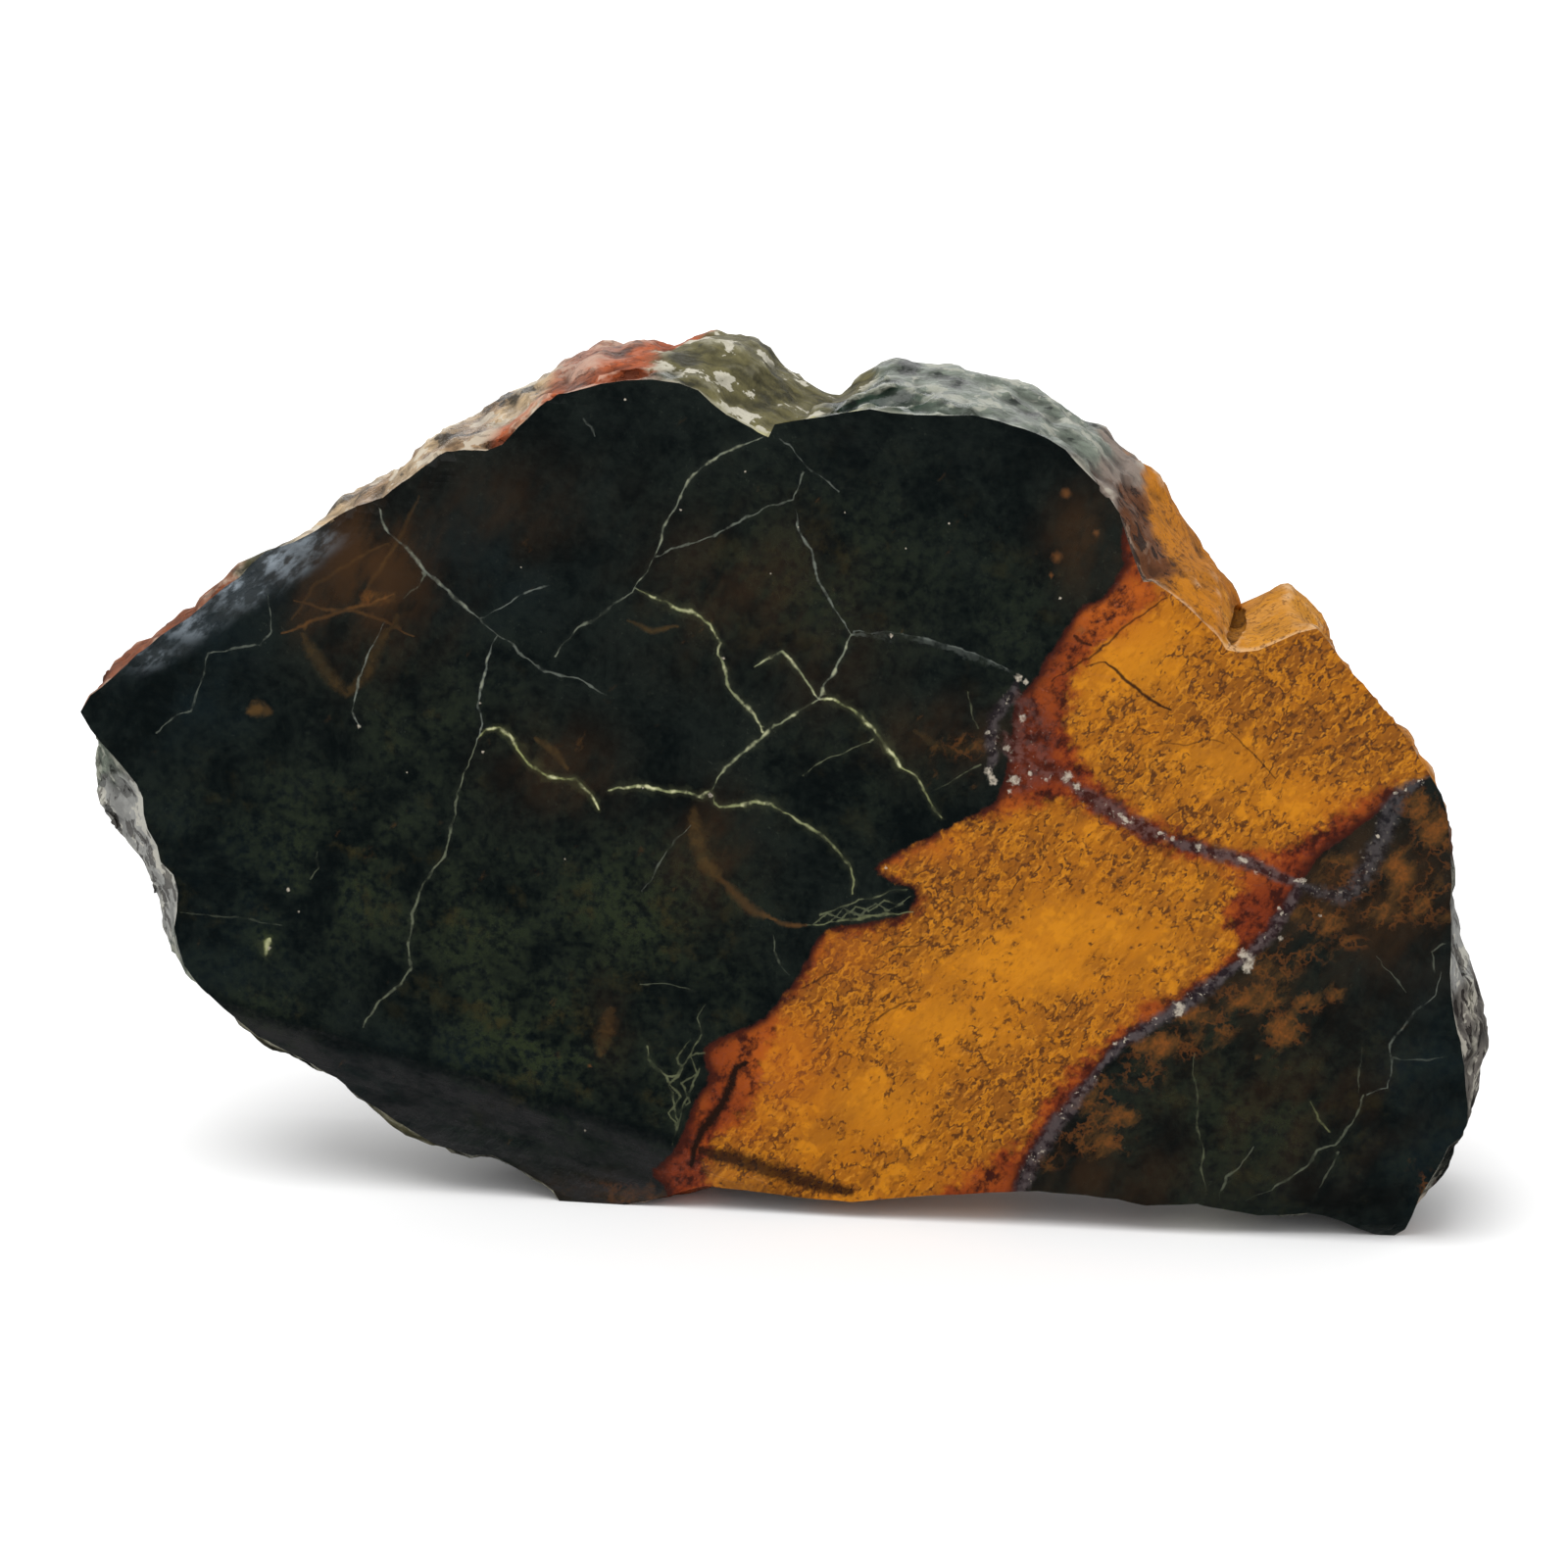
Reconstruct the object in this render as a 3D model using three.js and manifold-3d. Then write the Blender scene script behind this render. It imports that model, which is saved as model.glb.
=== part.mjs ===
// A slab of stone, cut and polished by hand, as a collector keeps it on a shelf.
//
// It is one natural piece: a thick slice with a flat polished face towards -Y, a flat sawn back
// towards +Y, and rough broken stone all the way round the edge. It stands on two low feet of its
// lower edge. Millimetres, Z up, with the origin on the floor under the middle of the slab.

import * as THREE from 'three';
import { mergeVertices } from 'three/addons/utils/BufferGeometryUtils.js';
import Module from 'manifold-3d';

const wasm = await Module();
wasm.setup();

// Driving dimensions
const THICKNESS = 23;             // polished face to sawn back
const FACE_Y = -THICKNESS / 2;
const FLOOR_Z = -0.7;             // the floor in the drawing of the outline below
const MIDDLE_X = 0.67;            // middle of the width in that drawing
const STATION_STEP = 1.7;         // spacing of the side's facets round the edge
const RING_DEPTHS = [0, 1, 2.6, 4.6, 6.8, 9.1, 11.4, 13.7, 15.9, 17.9, 19.7, 21.4, THICKNESS];

// Broken side: two sizes of shallow shell-shaped hollows with ridges between them
const HOLLOW_WIDTH = 11;
const HOLLOW_DEPTH = 1.5;
const FLAKE_WIDTH = 4.6;
const FLAKE_DEPTH = 0.55;
const RIDGE_SHARE = 0.55;         // share of a hollow's depth by which its rim stands out
const SHARP_EDGE = 2.4;           // the hollows fade out this close to the polished face
const BACK_EDGE = 1.6;            // and this close to the sawn back
const RAGGED_SHARE = 0.25;        // share of their depth that is left at the sawn back's edge
const EDGE_WOBBLE = 0.12;         // small nicks along every ring of the side
const BACK_TAPER = 0.36;          // how far the side draws in behind its widest line, per mm of depth

// The stone's size before it is cut is far under this, so a cutter of this size cuts it right through
const CUTTER = 400;

const STONE_COLOUR = 0x2a2620;
const STONE_ROUGHNESS = 0.35;

// The outline, clockwise from the left tip as seen on the polished face. Each row is one station:
// the polished edge (x, z), then the side's widest line (x, z) and how deep that lies behind the face.
const UPPER_LEFT = [
  [-70.3, 49.7, -70.8, 49.1, 4],
  [-69.2, 51.4, -70.3, 51.3, 5],
  [-66.6, 53.5, -69.1, 52.6, 9],
  [-64.1, 55.9, -67.1, 54.7, 12],
  [-61.5, 58.0, -65.2, 56.1, 14],
  [-58.5, 60.0, -62.7, 57.3, 16],
  [-56.0, 62.0, -59.9, 58.5, 16],
  [-53.0, 64.2, -57.1, 60.5, 16],
  [-50.0, 66.7, -54.1, 62.9, 16],
  [-47.5, 68.0, -51.0, 64.4, 16],
  [-45.3, 69.2, -49.2, 65.6, 16],
  [-43.5, 70.6, -47.4, 67.3, 17],
  [-41.0, 71.9, -45.0, 69.4, 17],
];
const TOP_LEFT = [
  [-38.5, 72.7, -42.2, 71.6, 18],
  [-36.5, 74.2, -40.6, 72.2, 18],
  [-34.5, 75.7, -38.6, 74.2, 18],
  [-32.5, 77.0, -36.5, 75.8, 18],
  [-30.5, 77.5, -33.9, 77.3, 18],
  [-28.0, 77.6, -31.1, 78.4, 18],
  [-26.3, 78.3, -29.0, 79.8, 18],
  [-24.8, 80.0, -27.3, 81.0, 18],
  [-22.7, 81.9, -25.4, 82.4, 18],
  [-21.0, 83.3, -23.5, 83.8, 18],
  [-18.7, 83.8, -21.4, 85.4, 18],
  [-16.5, 84.5, -19.3, 85.9, 18],
  [-14.0, 85.0, -17.5, 85.1, 18],
  [-11.3, 85.1, -14.5, 86.3, 18],
  [-8.7, 84.8, -12.4, 85.5, 18],
  [-6.8, 84.1, -10.0, 86.3, 18],
  [-5.5, 82.9, -7.8, 87.4, 18],
  [-4.0, 81.8, -4.1, 86.2, 18],
  [-2.2, 80.9, -1.5, 83.8, 18],
  [-0.9, 80.2, 1.6, 82.0, 18],
];
// The groove that crosses the top edge, then the hump to its right
const TOP_RIGHT = [
  [0.1, 79.7, 4.9, 80.4, 18],
  [0.7, 81.0, 5.3, 80.8, 18],
  [3.0, 81.4, 5.9, 81.3, 18],
  [5.5, 81.9, 6.9, 82.2, 18],
  [7.8, 82.3, 7.9, 83.2, 18],
  [10.0, 82.7, 8.8, 83.6, 18],
  [12.0, 82.4, 10.3, 84.4, 18],
  [14.5, 82.2, 12.6, 84.3, 18],
  [17.2, 82.3, 15.2, 84.3, 18],
  [20.0, 82.4, 18.3, 83.6, 18],
  [22.5, 81.8, 20.9, 83.1, 18],
  [25.0, 81.2, 23.6, 82.6, 18],
  [27.3, 80.2, 26.3, 81.6, 18],
  [29.0, 79.2, 28.5, 80.5, 18],
  [31.0, 77.0, 31.2, 78.8, 18],
  [33.0, 75.2, 33.4, 76.4, 18],
  [34.4, 73.1, 36.0, 74.1, 18],
  [35.1, 70.8, 37.6, 72.4, 18],
  [36.0, 68.4, 39.5, 69.5, 18],
  [36.8, 66.4, 41.2, 67.3, 18],
  [37.7, 66.5, 42.2, 66.1, 18],
  [39.5, 65.3, 43.7, 65.0, 18],
  [41.2, 64.0, 44.7, 63.5, 18],
  [42.8, 62.5, 45.1, 62.2, 18],
];
// The step where a block of stone stands up beside the slope, and the long right-hand edge
const STEP_AND_RIGHT = [
  [44.1, 61.2, 45.4, 61.1, 18],
  [44.9, 59.9, 45.6, 60.4, 18],
  [46.2, 59.7, 46.1, 60.9, 18],
  [48.0, 60.0, 47.5, 61.7, 18],
  [49.8, 60.9, 48.9, 62.5, 18],
  [51.8, 61.9, 50.2, 62.9, 18],
  [53.6, 62.4, 51.7, 61.5, 18],
  [54.8, 61.0, 54.1, 57.9, 18],
  [56.2, 59.0, 56.0, 54.8, 18],
  [58.2, 57.0, 58.0, 52.8, 18],
  [60.2, 54.7, 60.1, 50.7, 18],
  [61.8, 52.7, 61.9, 49.0, 18],
  [63.3, 50.7, 63.4, 46.6, 18],
  [64.7, 48.5, 64.5, 43.8, 18],
  [66.1, 46.2, 66.0, 41.4, 17],
  [66.8, 44.2, 67.1, 39.9, 17],
  [67.1, 42.0, 67.3, 37.6, 16],
  [67.3, 39.5, 67.6, 35.4, 15],
  [67.5, 37.2, 67.7, 33.4, 13],
  [67.4, 35.2, 67.8, 31.6, 12],
  [67.6, 33.0, 68.3, 29.3, 12],
  [67.7, 30.5, 68.9, 26.8, 12],
  [67.7, 28.0, 69.5, 24.6, 12],
  [67.9, 25.6, 70.0, 22.4, 12],
  [68.3, 23.2, 70.5, 19.6, 12],
  [69.0, 21.0, 71.3, 16.9, 12],
  [69.4, 18.5, 71.1, 14.7, 12],
  [69.7, 16.4, 71.3, 12.3, 12],
  [70.0, 14.2, 70.8, 10.4, 12],
  [69.9, 12.3, 70.2, 8.8, 12],
  [69.3, 11.0, 69.3, 7.6, 12],
  [68.2, 10.0, 68.3, 6.4, 12],
  [67.7, 8.7, 67.8, 5.2, 12],
  [66.7, 6.6, 66.7, 3.4, 12],
  [65.6, 4.3, 65.6, 1.8, 12],
  [64.9, 2.4, 64.8, 0.4, 12],
];
// The lower edge: the right foot, the long shallow arch, the left foot, and the slope up to the left
const LOWER_EDGE = [
  [64.3, 0.6, 64.0, -0.8, 13],
  [63.2, -0.7, 62.6, -2.2, 14],
  [61.2, -0.6, 60.8, -2.1, 14],
  [59.2, 0.2, 58.8, -1.4, 14],
  [57.3, 1.0, 57.0, 0.2, 13],
  [54.5, 1.6, 54.2, 1.2, 12],
  [49.5, 1.4, 49.5, 0.8, 11],
  [46.5, 2.0, 46.8, 1.6, 11],
  [43.5, 2.7, 43.8, 2.4, 11],
  [38.3, 2.2, 38.5, 1.4, 11],
  [35.5, 2.8, 35.6, 1.8, 11],
  [27.5, 3.2, 27.5, 2.2, 11],
  [23.0, 2.8, 23.0, 1.4, 11],
  [16.2, 2.1, 16.2, 1.2, 11],
  [8.5, 1.1, 8.5, 0.3, 11],
  [2.5, 1.2, 2.5, 0.6, 11],
  [-4.2, 1.8, -4.0, 0.9, 11],
  [-6.6, 2.0, -6.6, 0.6, 11],
  [-9.0, 1.2, -9.0, -0.4, 12],
  [-12.8, -0.2, -12.6, -1.9, 14],
  [-15.2, -0.9, -15.2, -2.4, 14],
  [-20.0, -1.1, -20.0, -2.5, 14],
  [-21.7, -0.8, -22.0, -2.2, 14],
  [-22.4, 0.5, -23.4, -0.4, 12],
  [-23.4, 1.4, -24.6, 0.0, 11],
  [-27.0, 3.6, -28.4, 1.6, 11],
  [-28.6, 4.4, -30.0, 2.2, 10],
  [-30.8, 4.1, -32.2, 1.8, 10],
  [-33.5, 4.9, -34.8, 2.5, 10],
  [-38.5, 7.5, -39.8, 5.0, 10],
  [-43.2, 10.4, -44.8, 8.0, 10],
  [-44.8, 11.8, -46.4, 9.6, 9],
  [-48.5, 13.9, -50.0, 11.6, 9],
  [-53.0, 16.0, -54.0, 14.3, 9],
  [-55.3, 17.8, -56.8, 16.2, 9],
  [-58.7, 20.8, -60.5, 19.2, 8],
  [-60.4, 23.2, -62.4, 21.6, 8],
  [-61.0, 25.3, -63.3, 23.6, 7],
];
// The left side, where the stone swells out well past the polished edge
const LEFT_SWELLING = [
  [-61.4, 27.2, -64.1, 25.6, 6.5],
  [-61.0, 29.0, -64.7, 27.5, 6.5],
  [-60.8, 31.2, -65.2, 29.2, 6.5],
  [-61.2, 32.9, -65.8, 31.0, 6.5],
  [-62.5, 34.2, -66.5, 32.6, 6.5],
  [-62.8, 35.9, -67.3, 34.1, 6.5],
  [-63.8, 37.6, -68.7, 36.0, 6.5],
  [-64.1, 39.2, -69.3, 37.8, 6.5],
  [-64.1, 40.9, -69.7, 39.6, 6.5],
  [-64.7, 42.3, -69.8, 41.1, 6.5],
  [-65.9, 43.8, -69.8, 42.6, 6.5],
  [-67.1, 45.3, -69.8, 44.2, 6],
  [-68.2, 46.5, -69.9, 45.7, 5],
  [-69.3, 47.9, -70.2, 47.2, 4],
];
const STATIONS = [...UPPER_LEFT, ...TOP_LEFT, ...TOP_RIGHT, ...STEP_AND_RIGHT, ...LOWER_EDGE, ...LEFT_SWELLING];

// Ground bevels of the polished face. A bevel turns back from a straight line across the face, from
// one (x, z) to the other with the stone that goes lying on the line's left, by an angle in degrees.
const BEVELS = [
  { from: [-64.4, 53.2], to: [-34.4, 73.0], angle: 14 },   // upper left, the first turn
  { from: [-60.9, 57.6], to: [-39.4, 71.4], angle: 38 },   // upper left, the rounded-off edge
  { from: [8.0, 1.2], to: [-57.0, 19.3], angle: 5.5 },     // along the lower left
  { from: [66.0, 6.5], to: [44.0, 2.5], angle: 24 },       // over the right foot
];

// Chips and pits of the broken side. Each is placed by the nearest point (x, z) of the polished edge and
// its depth behind the face, then its length along the edge, its width from front to back and how far
// it sinks into the stone, and the turn of its long way out of the edge's line, in degrees.
const CHIPS = [
  [-13.6, 85.0, 1.3, 6.0, 2.6, 1.3, 0],       // under the red lip of the top edge
  [-21.0, 83.3, 1.2, 4.4, 2.2, 0.9, 10],
  [-25.8, 78.8, 1.0, 4.0, 2.0, 0.9, -8],
  [-33.0, 76.6, 9.0, 7.0, 5.0, 0.9, 25],
  [13.2, 82.4, 4.2, 12.0, 5.6, 1.7, 4],       // the long dark chip of the right hump
  [18.8, 82.3, 1.2, 4.6, 2.2, 0.9, 0],
  [26.5, 80.6, 12.0, 9.0, 6.0, 1.0, -30],
  [32.6, 75.6, 0.6, 2.8, 1.6, 0.9, 0],
  [44.6, 60.4, 9.0, 2.2, 17.0, 1.2, 0],       // the inner corner of the step
  [61.4, 53.2, 3.4, 3.4, 3.0, 0.7, 20],
  [66.4, 45.4, 11.0, 9.0, 7.0, 1.1, 15],
  [67.6, 31.0, 4.2, 4.4, 1.6, 0.8, 12],       // pits of the right side
  [68.0, 25.4, 5.0, 5.0, 1.9, 1.1, -10],
  [69.0, 21.0, 3.4, 3.6, 1.4, 0.9, 14],
  [69.6, 17.0, 5.2, 3.4, 1.5, 0.9, -12],
  [66.2, 5.5, 12.0, 8.0, 9.0, 1.0, 20],
  [38.0, 2.2, 9.0, 12.0, 8.0, 1.2, 15],       // shells broken out of the lower edge
  [16.0, 2.0, 14.0, 13.0, 8.0, 1.3, -20],
  [-2.0, 1.7, 7.0, 9.0, 7.0, 1.0, 10],
  [-34.0, 5.0, 13.0, 12.0, 9.0, 1.4, 0],
  [-49.0, 14.2, 8.0, 11.0, 8.0, 1.3, 25],
  [-59.0, 21.8, 14.0, 9.0, 8.0, 1.2, -20],
  [-60.9, 30.2, 2.4, 3.4, 1.2, 0.8, 10],      // pits of the swelling on the left
  [-61.1, 32.6, 4.4, 3.6, 1.4, 0.9, -12],
  [-62.8, 35.9, 5.6, 3.4, 1.4, 0.8, 0],
  [-64.1, 39.8, 4.4, 3.8, 1.7, 1.0, 16],
  [-64.4, 41.6, 2.2, 3.6, 1.2, 0.8, 8],
  [-65.2, 43.2, 5.4, 4.2, 2.0, 1.1, 14],
  [-68.4, 52.0, 12.0, 8.0, 7.0, 1.1, 0],
  [-57.0, 61.2, 11.0, 10.0, 6.0, 0.8, 12],
];

// Even stations along the rows, each row kept as a corner: [edge x, edge z, wide x, wide z, wide depth]
function resampled(rows) {
  const stations = [];
  rows.forEach((row, i) => {
    const next = rows[(i + 1) % rows.length];
    const reach = Math.max(
      Math.hypot(next[0] - row[0], next[1] - row[1]),
      Math.hypot(next[2] - row[2], next[3] - row[3]),
    );
    const pieces = Math.max(1, Math.round(reach / STATION_STEP));
    for (let k = 0; k < pieces; k += 1) {
      stations.push(row.map((value, axis) => THREE.MathUtils.lerp(value, next[axis], k / pieces)));
    }
  });
  return stations;
}

// The direction out of the stone at each station, averaged over a few neighbours so that it turns gently
function outwardDirections(stations) {
  const neighbours = 4;
  const count = stations.length;
  return stations.map((station, i) => {
    const before = stations[(i - neighbours + count) % count];
    const after = stations[(i + neighbours) % count];
    return new THREE.Vector2(before[3] - after[3], after[2] - before[2]).normalize();
  });
}

// A repeatable random number from 0 to 1 for a cell of a grid; the salt tells one use from another
const HOLLOW_SALT = 1;
const FLAKE_SALT = 7;
const NICK_SALT = 3;
function chance(x, y, z, salt) {
  const wave = Math.sin(x * 127.1 + y * 311.7 + z * 74.7 + salt * 53.9) * 43758.5453;
  return wave - Math.floor(wave);
}

// Hollows scattered through space: 0 on the ridges between them, down to -1 in the middle of one
const RIDGE_REACH = 0.62;         // squared distance from a hollow's middle to its rim, in cells
function hollow(x, y, z, width, salt) {
  const [cellX, cellY, cellZ] = [x, y, z].map((value) => Math.floor(value / width));
  let nearest = Infinity;
  for (let i = cellX - 1; i <= cellX + 1; i += 1) {
    for (let j = cellY - 1; j <= cellY + 1; j += 1) {
      for (let k = cellZ - 1; k <= cellZ + 1; k += 1) {
        const dx = i + chance(i, j, k, salt) - x / width;
        const dy = j + chance(i, j, k, salt + 1) - y / width;
        const dz = k + chance(i, j, k, salt + 2) - z / width;
        nearest = Math.min(nearest, dx * dx + dy * dy + dz * dz);
      }
    }
  }
  return Math.min(nearest / RIDGE_REACH, 1) - 1;
}

// Where the side lies at one station and depth, before its hollows are sunk
function sidePoint(station, outward, depth) {
  const [edgeX, edgeZ, wideX, wideZ, wideDepth] = station;
  if (depth <= wideDepth) {
    const part = Math.sin((Math.PI / 2) * (depth / wideDepth));
    return [THREE.MathUtils.lerp(edgeX, wideX, part), THREE.MathUtils.lerp(edgeZ, wideZ, part)];
  }
  const behind = THICKNESS - wideDepth;
  const part = (depth - wideDepth) / behind;
  const drawnIn = BACK_TAPER * behind * part * part;
  return [wideX - outward.x * drawnIn, wideZ - outward.y * drawnIn];
}

// The whole slab as one closed body: rings of points from the face to the back, and two flat ends
function slabBody(stations, outward) {
  const count = stations.length;
  const positions = [];
  for (const depth of RING_DEPTHS) {
    const fade = Math.min(1, depth / SHARP_EDGE, RAGGED_SHARE + (THICKNESS - depth) / BACK_EDGE);
    stations.forEach((station, i) => {
      const [x, z] = sidePoint(station, outward[i], depth);
      const y = FACE_Y + depth;
      const hollows = HOLLOW_DEPTH * (hollow(x, y, z, HOLLOW_WIDTH, HOLLOW_SALT) + RIDGE_SHARE);
      const flakes = FLAKE_DEPTH * (hollow(x, y, z, FLAKE_WIDTH, FLAKE_SALT) + RIDGE_SHARE);
      const nicked = fade * (hollows + flakes) - EDGE_WOBBLE * chance(i, depth, 0, NICK_SALT);
      positions.push(x + outward[i].x * nicked, y, z + outward[i].y * nicked);
    });
  }
  const indices = [];
  for (let ring = 0; ring + 1 < RING_DEPTHS.length; ring += 1) {
    for (let i = 0; i < count; i += 1) {
      const next = (i + 1) % count;
      const near = ring * count;
      const far = near + count;
      indices.push(near + i, near + next, far + next, near + i, far + next, far + i);
    }
  }
  for (const ring of [0, RING_DEPTHS.length - 1]) {
    const start = ring * count;
    const loop = stations.map((_, i) => new THREE.Vector2(
      positions[3 * (start + i)], positions[3 * (start + i) + 2]));
    const triangles = THREE.ShapeUtils.triangulateShape(loop, []);
    const turn = triangles.reduce((sum, corners) => (
      sum + THREE.ShapeUtils.area(corners.map((corner) => loop[corner]))), 0);
    const kept = (turn > 0) === (ring === 0);
    for (const [a, b, c] of triangles) {
      indices.push(start + a, start + (kept ? b : c), start + (kept ? c : b));
    }
  }
  const geometry = new THREE.BufferGeometry();
  geometry.setAttribute('position', new THREE.Float32BufferAttribute(positions, 3));
  geometry.setIndex(indices);
  return geometry;
}

function solidFrom(geometry) {
  const bare = geometry.clone();
  bare.deleteAttribute('normal');
  bare.deleteAttribute('uv');
  const merged = mergeVertices(bare, 1e-4);
  return new wasm.Manifold(new wasm.Mesh({
    numProp: 3,
    vertProperties: new Float32Array(merged.attributes.position.array),
    triVerts: new Uint32Array(merged.index.array),
  }));
}

function geometryFrom(solid) {
  const mesh = solid.getMesh();
  const geometry = new THREE.BufferGeometry();
  geometry.setAttribute('position', new THREE.BufferAttribute(new Float32Array(mesh.vertProperties), 3));
  geometry.setIndex(new THREE.BufferAttribute(new Uint32Array(mesh.triVerts), 1));
  geometry.computeVertexNormals();
  return geometry;
}

// A block that removes everything on the far side of a plane through a point
function cutterBeyond(point, normal) {
  const block = new THREE.BoxGeometry(CUTTER, CUTTER, CUTTER);
  block.translate(0, 0, CUTTER / 2);
  block.applyQuaternion(new THREE.Quaternion().setFromUnitVectors(new THREE.Vector3(0, 0, 1), normal));
  block.translate(point.x, point.y, point.z);
  return solidFrom(block);
}

function bevelCutter({ from, to, angle }) {
  const along = new THREE.Vector3(to[0] - from[0], 0, to[1] - from[1]).normalize();
  const normal = new THREE.Vector3(0, -1, 0).applyAxisAngle(along, -THREE.MathUtils.degToRad(angle));
  return cutterBeyond(new THREE.Vector3(from[0], FACE_Y, from[1]), normal);
}

// One chip: a rounded lump with flat facets, half of it pressed into the side at its station
function chipCutter([x, z, depth, length, width, sink, turn], stations, outward) {
  const reach = stations.map((station) => Math.hypot(station[0] - x, station[1] - z));
  const i = reach.indexOf(Math.min(...reach));
  const [sideX, sideZ] = sidePoint(stations[i], outward[i], depth);
  const lump = new THREE.IcosahedronGeometry(1, 1);
  lump.scale(length / 2, width / 2, sink);
  lump.rotateZ(THREE.MathUtils.degToRad(turn));
  const out = new THREE.Vector3(outward[i].x, 0, outward[i].y);
  const back = new THREE.Vector3(0, 1, 0);
  const along = new THREE.Vector3().crossVectors(back, out);
  lump.applyMatrix4(new THREE.Matrix4().makeBasis(along, back, out));
  lump.translate(sideX, FACE_Y + depth, sideZ);
  return solidFrom(lump);
}

function agateSlab() {
  const stations = resampled(STATIONS);
  const outward = outwardDirections(stations);
  let stone = solidFrom(slabBody(stations, outward));
  for (const bevel of BEVELS) {
    stone = stone.subtract(bevelCutter(bevel));
  }
  for (const chip of CHIPS) {
    stone = stone.subtract(chipCutter(chip, stations, outward));
  }
  stone = stone.subtract(cutterBeyond(new THREE.Vector3(0, 0, FLOOR_Z), new THREE.Vector3(0, 0, -1)));
  const geometry = geometryFrom(stone);
  geometry.translate(-MIDDLE_X, 0, -FLOOR_Z);
  const material = new THREE.MeshStandardMaterial({
    color: STONE_COLOUR,
    roughness: STONE_ROUGHNESS,
    metalness: 0,
  });
  const mesh = new THREE.Mesh(geometry, material);
  mesh.name = 'agate_slab';
  return mesh;
}

const slab = new THREE.Group();
slab.add(agateSlab());

export default slab;
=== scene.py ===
# %% [markdown]
# # A polished slab of stone
# This lesson dresses one piece: a thick slice of dark, iron-rich stone. One side of it is cut and
# polished, the other is left as the saw left it, and the edge all round is broken stone.
# The solid comes from CAD and fixes the size and the place. Here it gets a finer skin, its veins
# and colours, a floor, light and a camera.

import math

import bmesh
import bpy
import numpy as np
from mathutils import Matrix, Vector, noise
from mathutils.bvhtree import BVHTree
from mathutils.geometry import delaunay_2d_cdt


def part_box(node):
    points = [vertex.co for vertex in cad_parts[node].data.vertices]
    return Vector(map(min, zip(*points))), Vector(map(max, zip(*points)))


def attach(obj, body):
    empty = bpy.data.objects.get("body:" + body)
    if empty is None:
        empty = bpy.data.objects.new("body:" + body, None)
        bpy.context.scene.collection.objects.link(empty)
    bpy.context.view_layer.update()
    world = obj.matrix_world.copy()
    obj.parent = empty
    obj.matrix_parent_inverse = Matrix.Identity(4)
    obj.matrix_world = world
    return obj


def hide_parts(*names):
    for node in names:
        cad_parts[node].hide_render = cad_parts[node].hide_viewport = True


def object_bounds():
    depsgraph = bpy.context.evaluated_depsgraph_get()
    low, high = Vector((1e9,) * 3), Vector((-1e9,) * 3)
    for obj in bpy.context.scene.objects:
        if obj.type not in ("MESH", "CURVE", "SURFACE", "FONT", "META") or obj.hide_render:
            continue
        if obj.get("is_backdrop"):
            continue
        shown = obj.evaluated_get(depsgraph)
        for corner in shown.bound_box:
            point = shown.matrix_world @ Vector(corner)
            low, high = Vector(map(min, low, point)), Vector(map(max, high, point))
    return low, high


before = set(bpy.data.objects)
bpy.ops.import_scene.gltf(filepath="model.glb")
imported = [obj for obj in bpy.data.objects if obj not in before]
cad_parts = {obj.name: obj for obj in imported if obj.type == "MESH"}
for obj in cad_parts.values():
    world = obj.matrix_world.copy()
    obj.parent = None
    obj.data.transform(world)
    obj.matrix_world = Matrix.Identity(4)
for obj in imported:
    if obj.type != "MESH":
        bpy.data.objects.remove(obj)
bounds_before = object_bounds()
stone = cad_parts["agate_slab"]
low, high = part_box("agate_slab")
print("solid", len(stone.data.polygons), "faces, box", [round(v * 1000, 1) for v in (*low, *high)])

# %% [markdown]
# ## Units
# The pattern was drawn in millimetres on the polished face, seen from the front: x to the right and
# z up. Its zero lies a little off the part's own, so one pair of numbers carries points across.

# %% Units
MM = 0.001
DRAWING_SHIFT = np.array([-0.67, 0.7])
LOW = np.array(low) / MM
HIGH = np.array(high) / MM
FACE_Y = LOW[1]
BACK_Y = HIGH[1]
THICKNESS = BACK_Y - FACE_Y


def on_part(points):
    """Points of the drawing (x, z), in millimetres, in the part's frame."""
    return np.asarray(points, float) + DRAWING_SHIFT


print("thickness", round(THICKNESS, 2), "mm")

# %% [markdown]
# ## Three kinds of surface
# A lapidary grinds the face flat and then rolls a few edges over, so the polished part is the face
# and the gentle bevels that touch it. The program starts from the largest triangle of the face and
# walks over every edge that turns by less than a hinge's angle. The saw's side is simply the flat
# one at the far end, and whatever is left is the broken edge.

# %% Sort the faces
HINGE = math.cos(math.radians(27))
STEEPEST = 0.76         # how far a bevel still has to face the front
WELD = 0.004 * MM       # points closer than this are one point
SLIVER = 0.01 * MM      # shorter edges are taken out


def polished_faces(body):
    """The face and the bevels ground on it, found by walking over gentle turns."""
    flat = [face for face in body.faces if face.normal.y < -0.9999]
    found = {max(flat, key=lambda face: face.calc_area())}
    waiting = list(found)
    while waiting:
        face = waiting.pop()
        for edge in face.edges:
            for other in edge.link_faces:
                gentle = other.normal.dot(face.normal) > HINGE
                if other not in found and gentle and other.normal.y < -STEEPEST:
                    found.add(other)
                    waiting.append(other)
    return found


body = bmesh.new()
body.from_mesh(stone.data)
bmesh.ops.remove_doubles(body, verts=body.verts, dist=WELD)
bmesh.ops.dissolve_degenerate(body, edges=body.edges, dist=SLIVER)
bmesh.ops.triangulate(body, faces=body.faces)
body.normal_update()
solid_tree = BVHTree.FromBMesh(body)
polished = polished_faces(body)
sawn = {face for face in body.faces if face.normal.y > 0.999
        and face.calc_center_median().y / MM > BACK_Y - 0.05}
print("polished", len(polished), "sawn", len(sawn), "broken", len(body.faces) - len(polished) - len(sawn))

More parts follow.
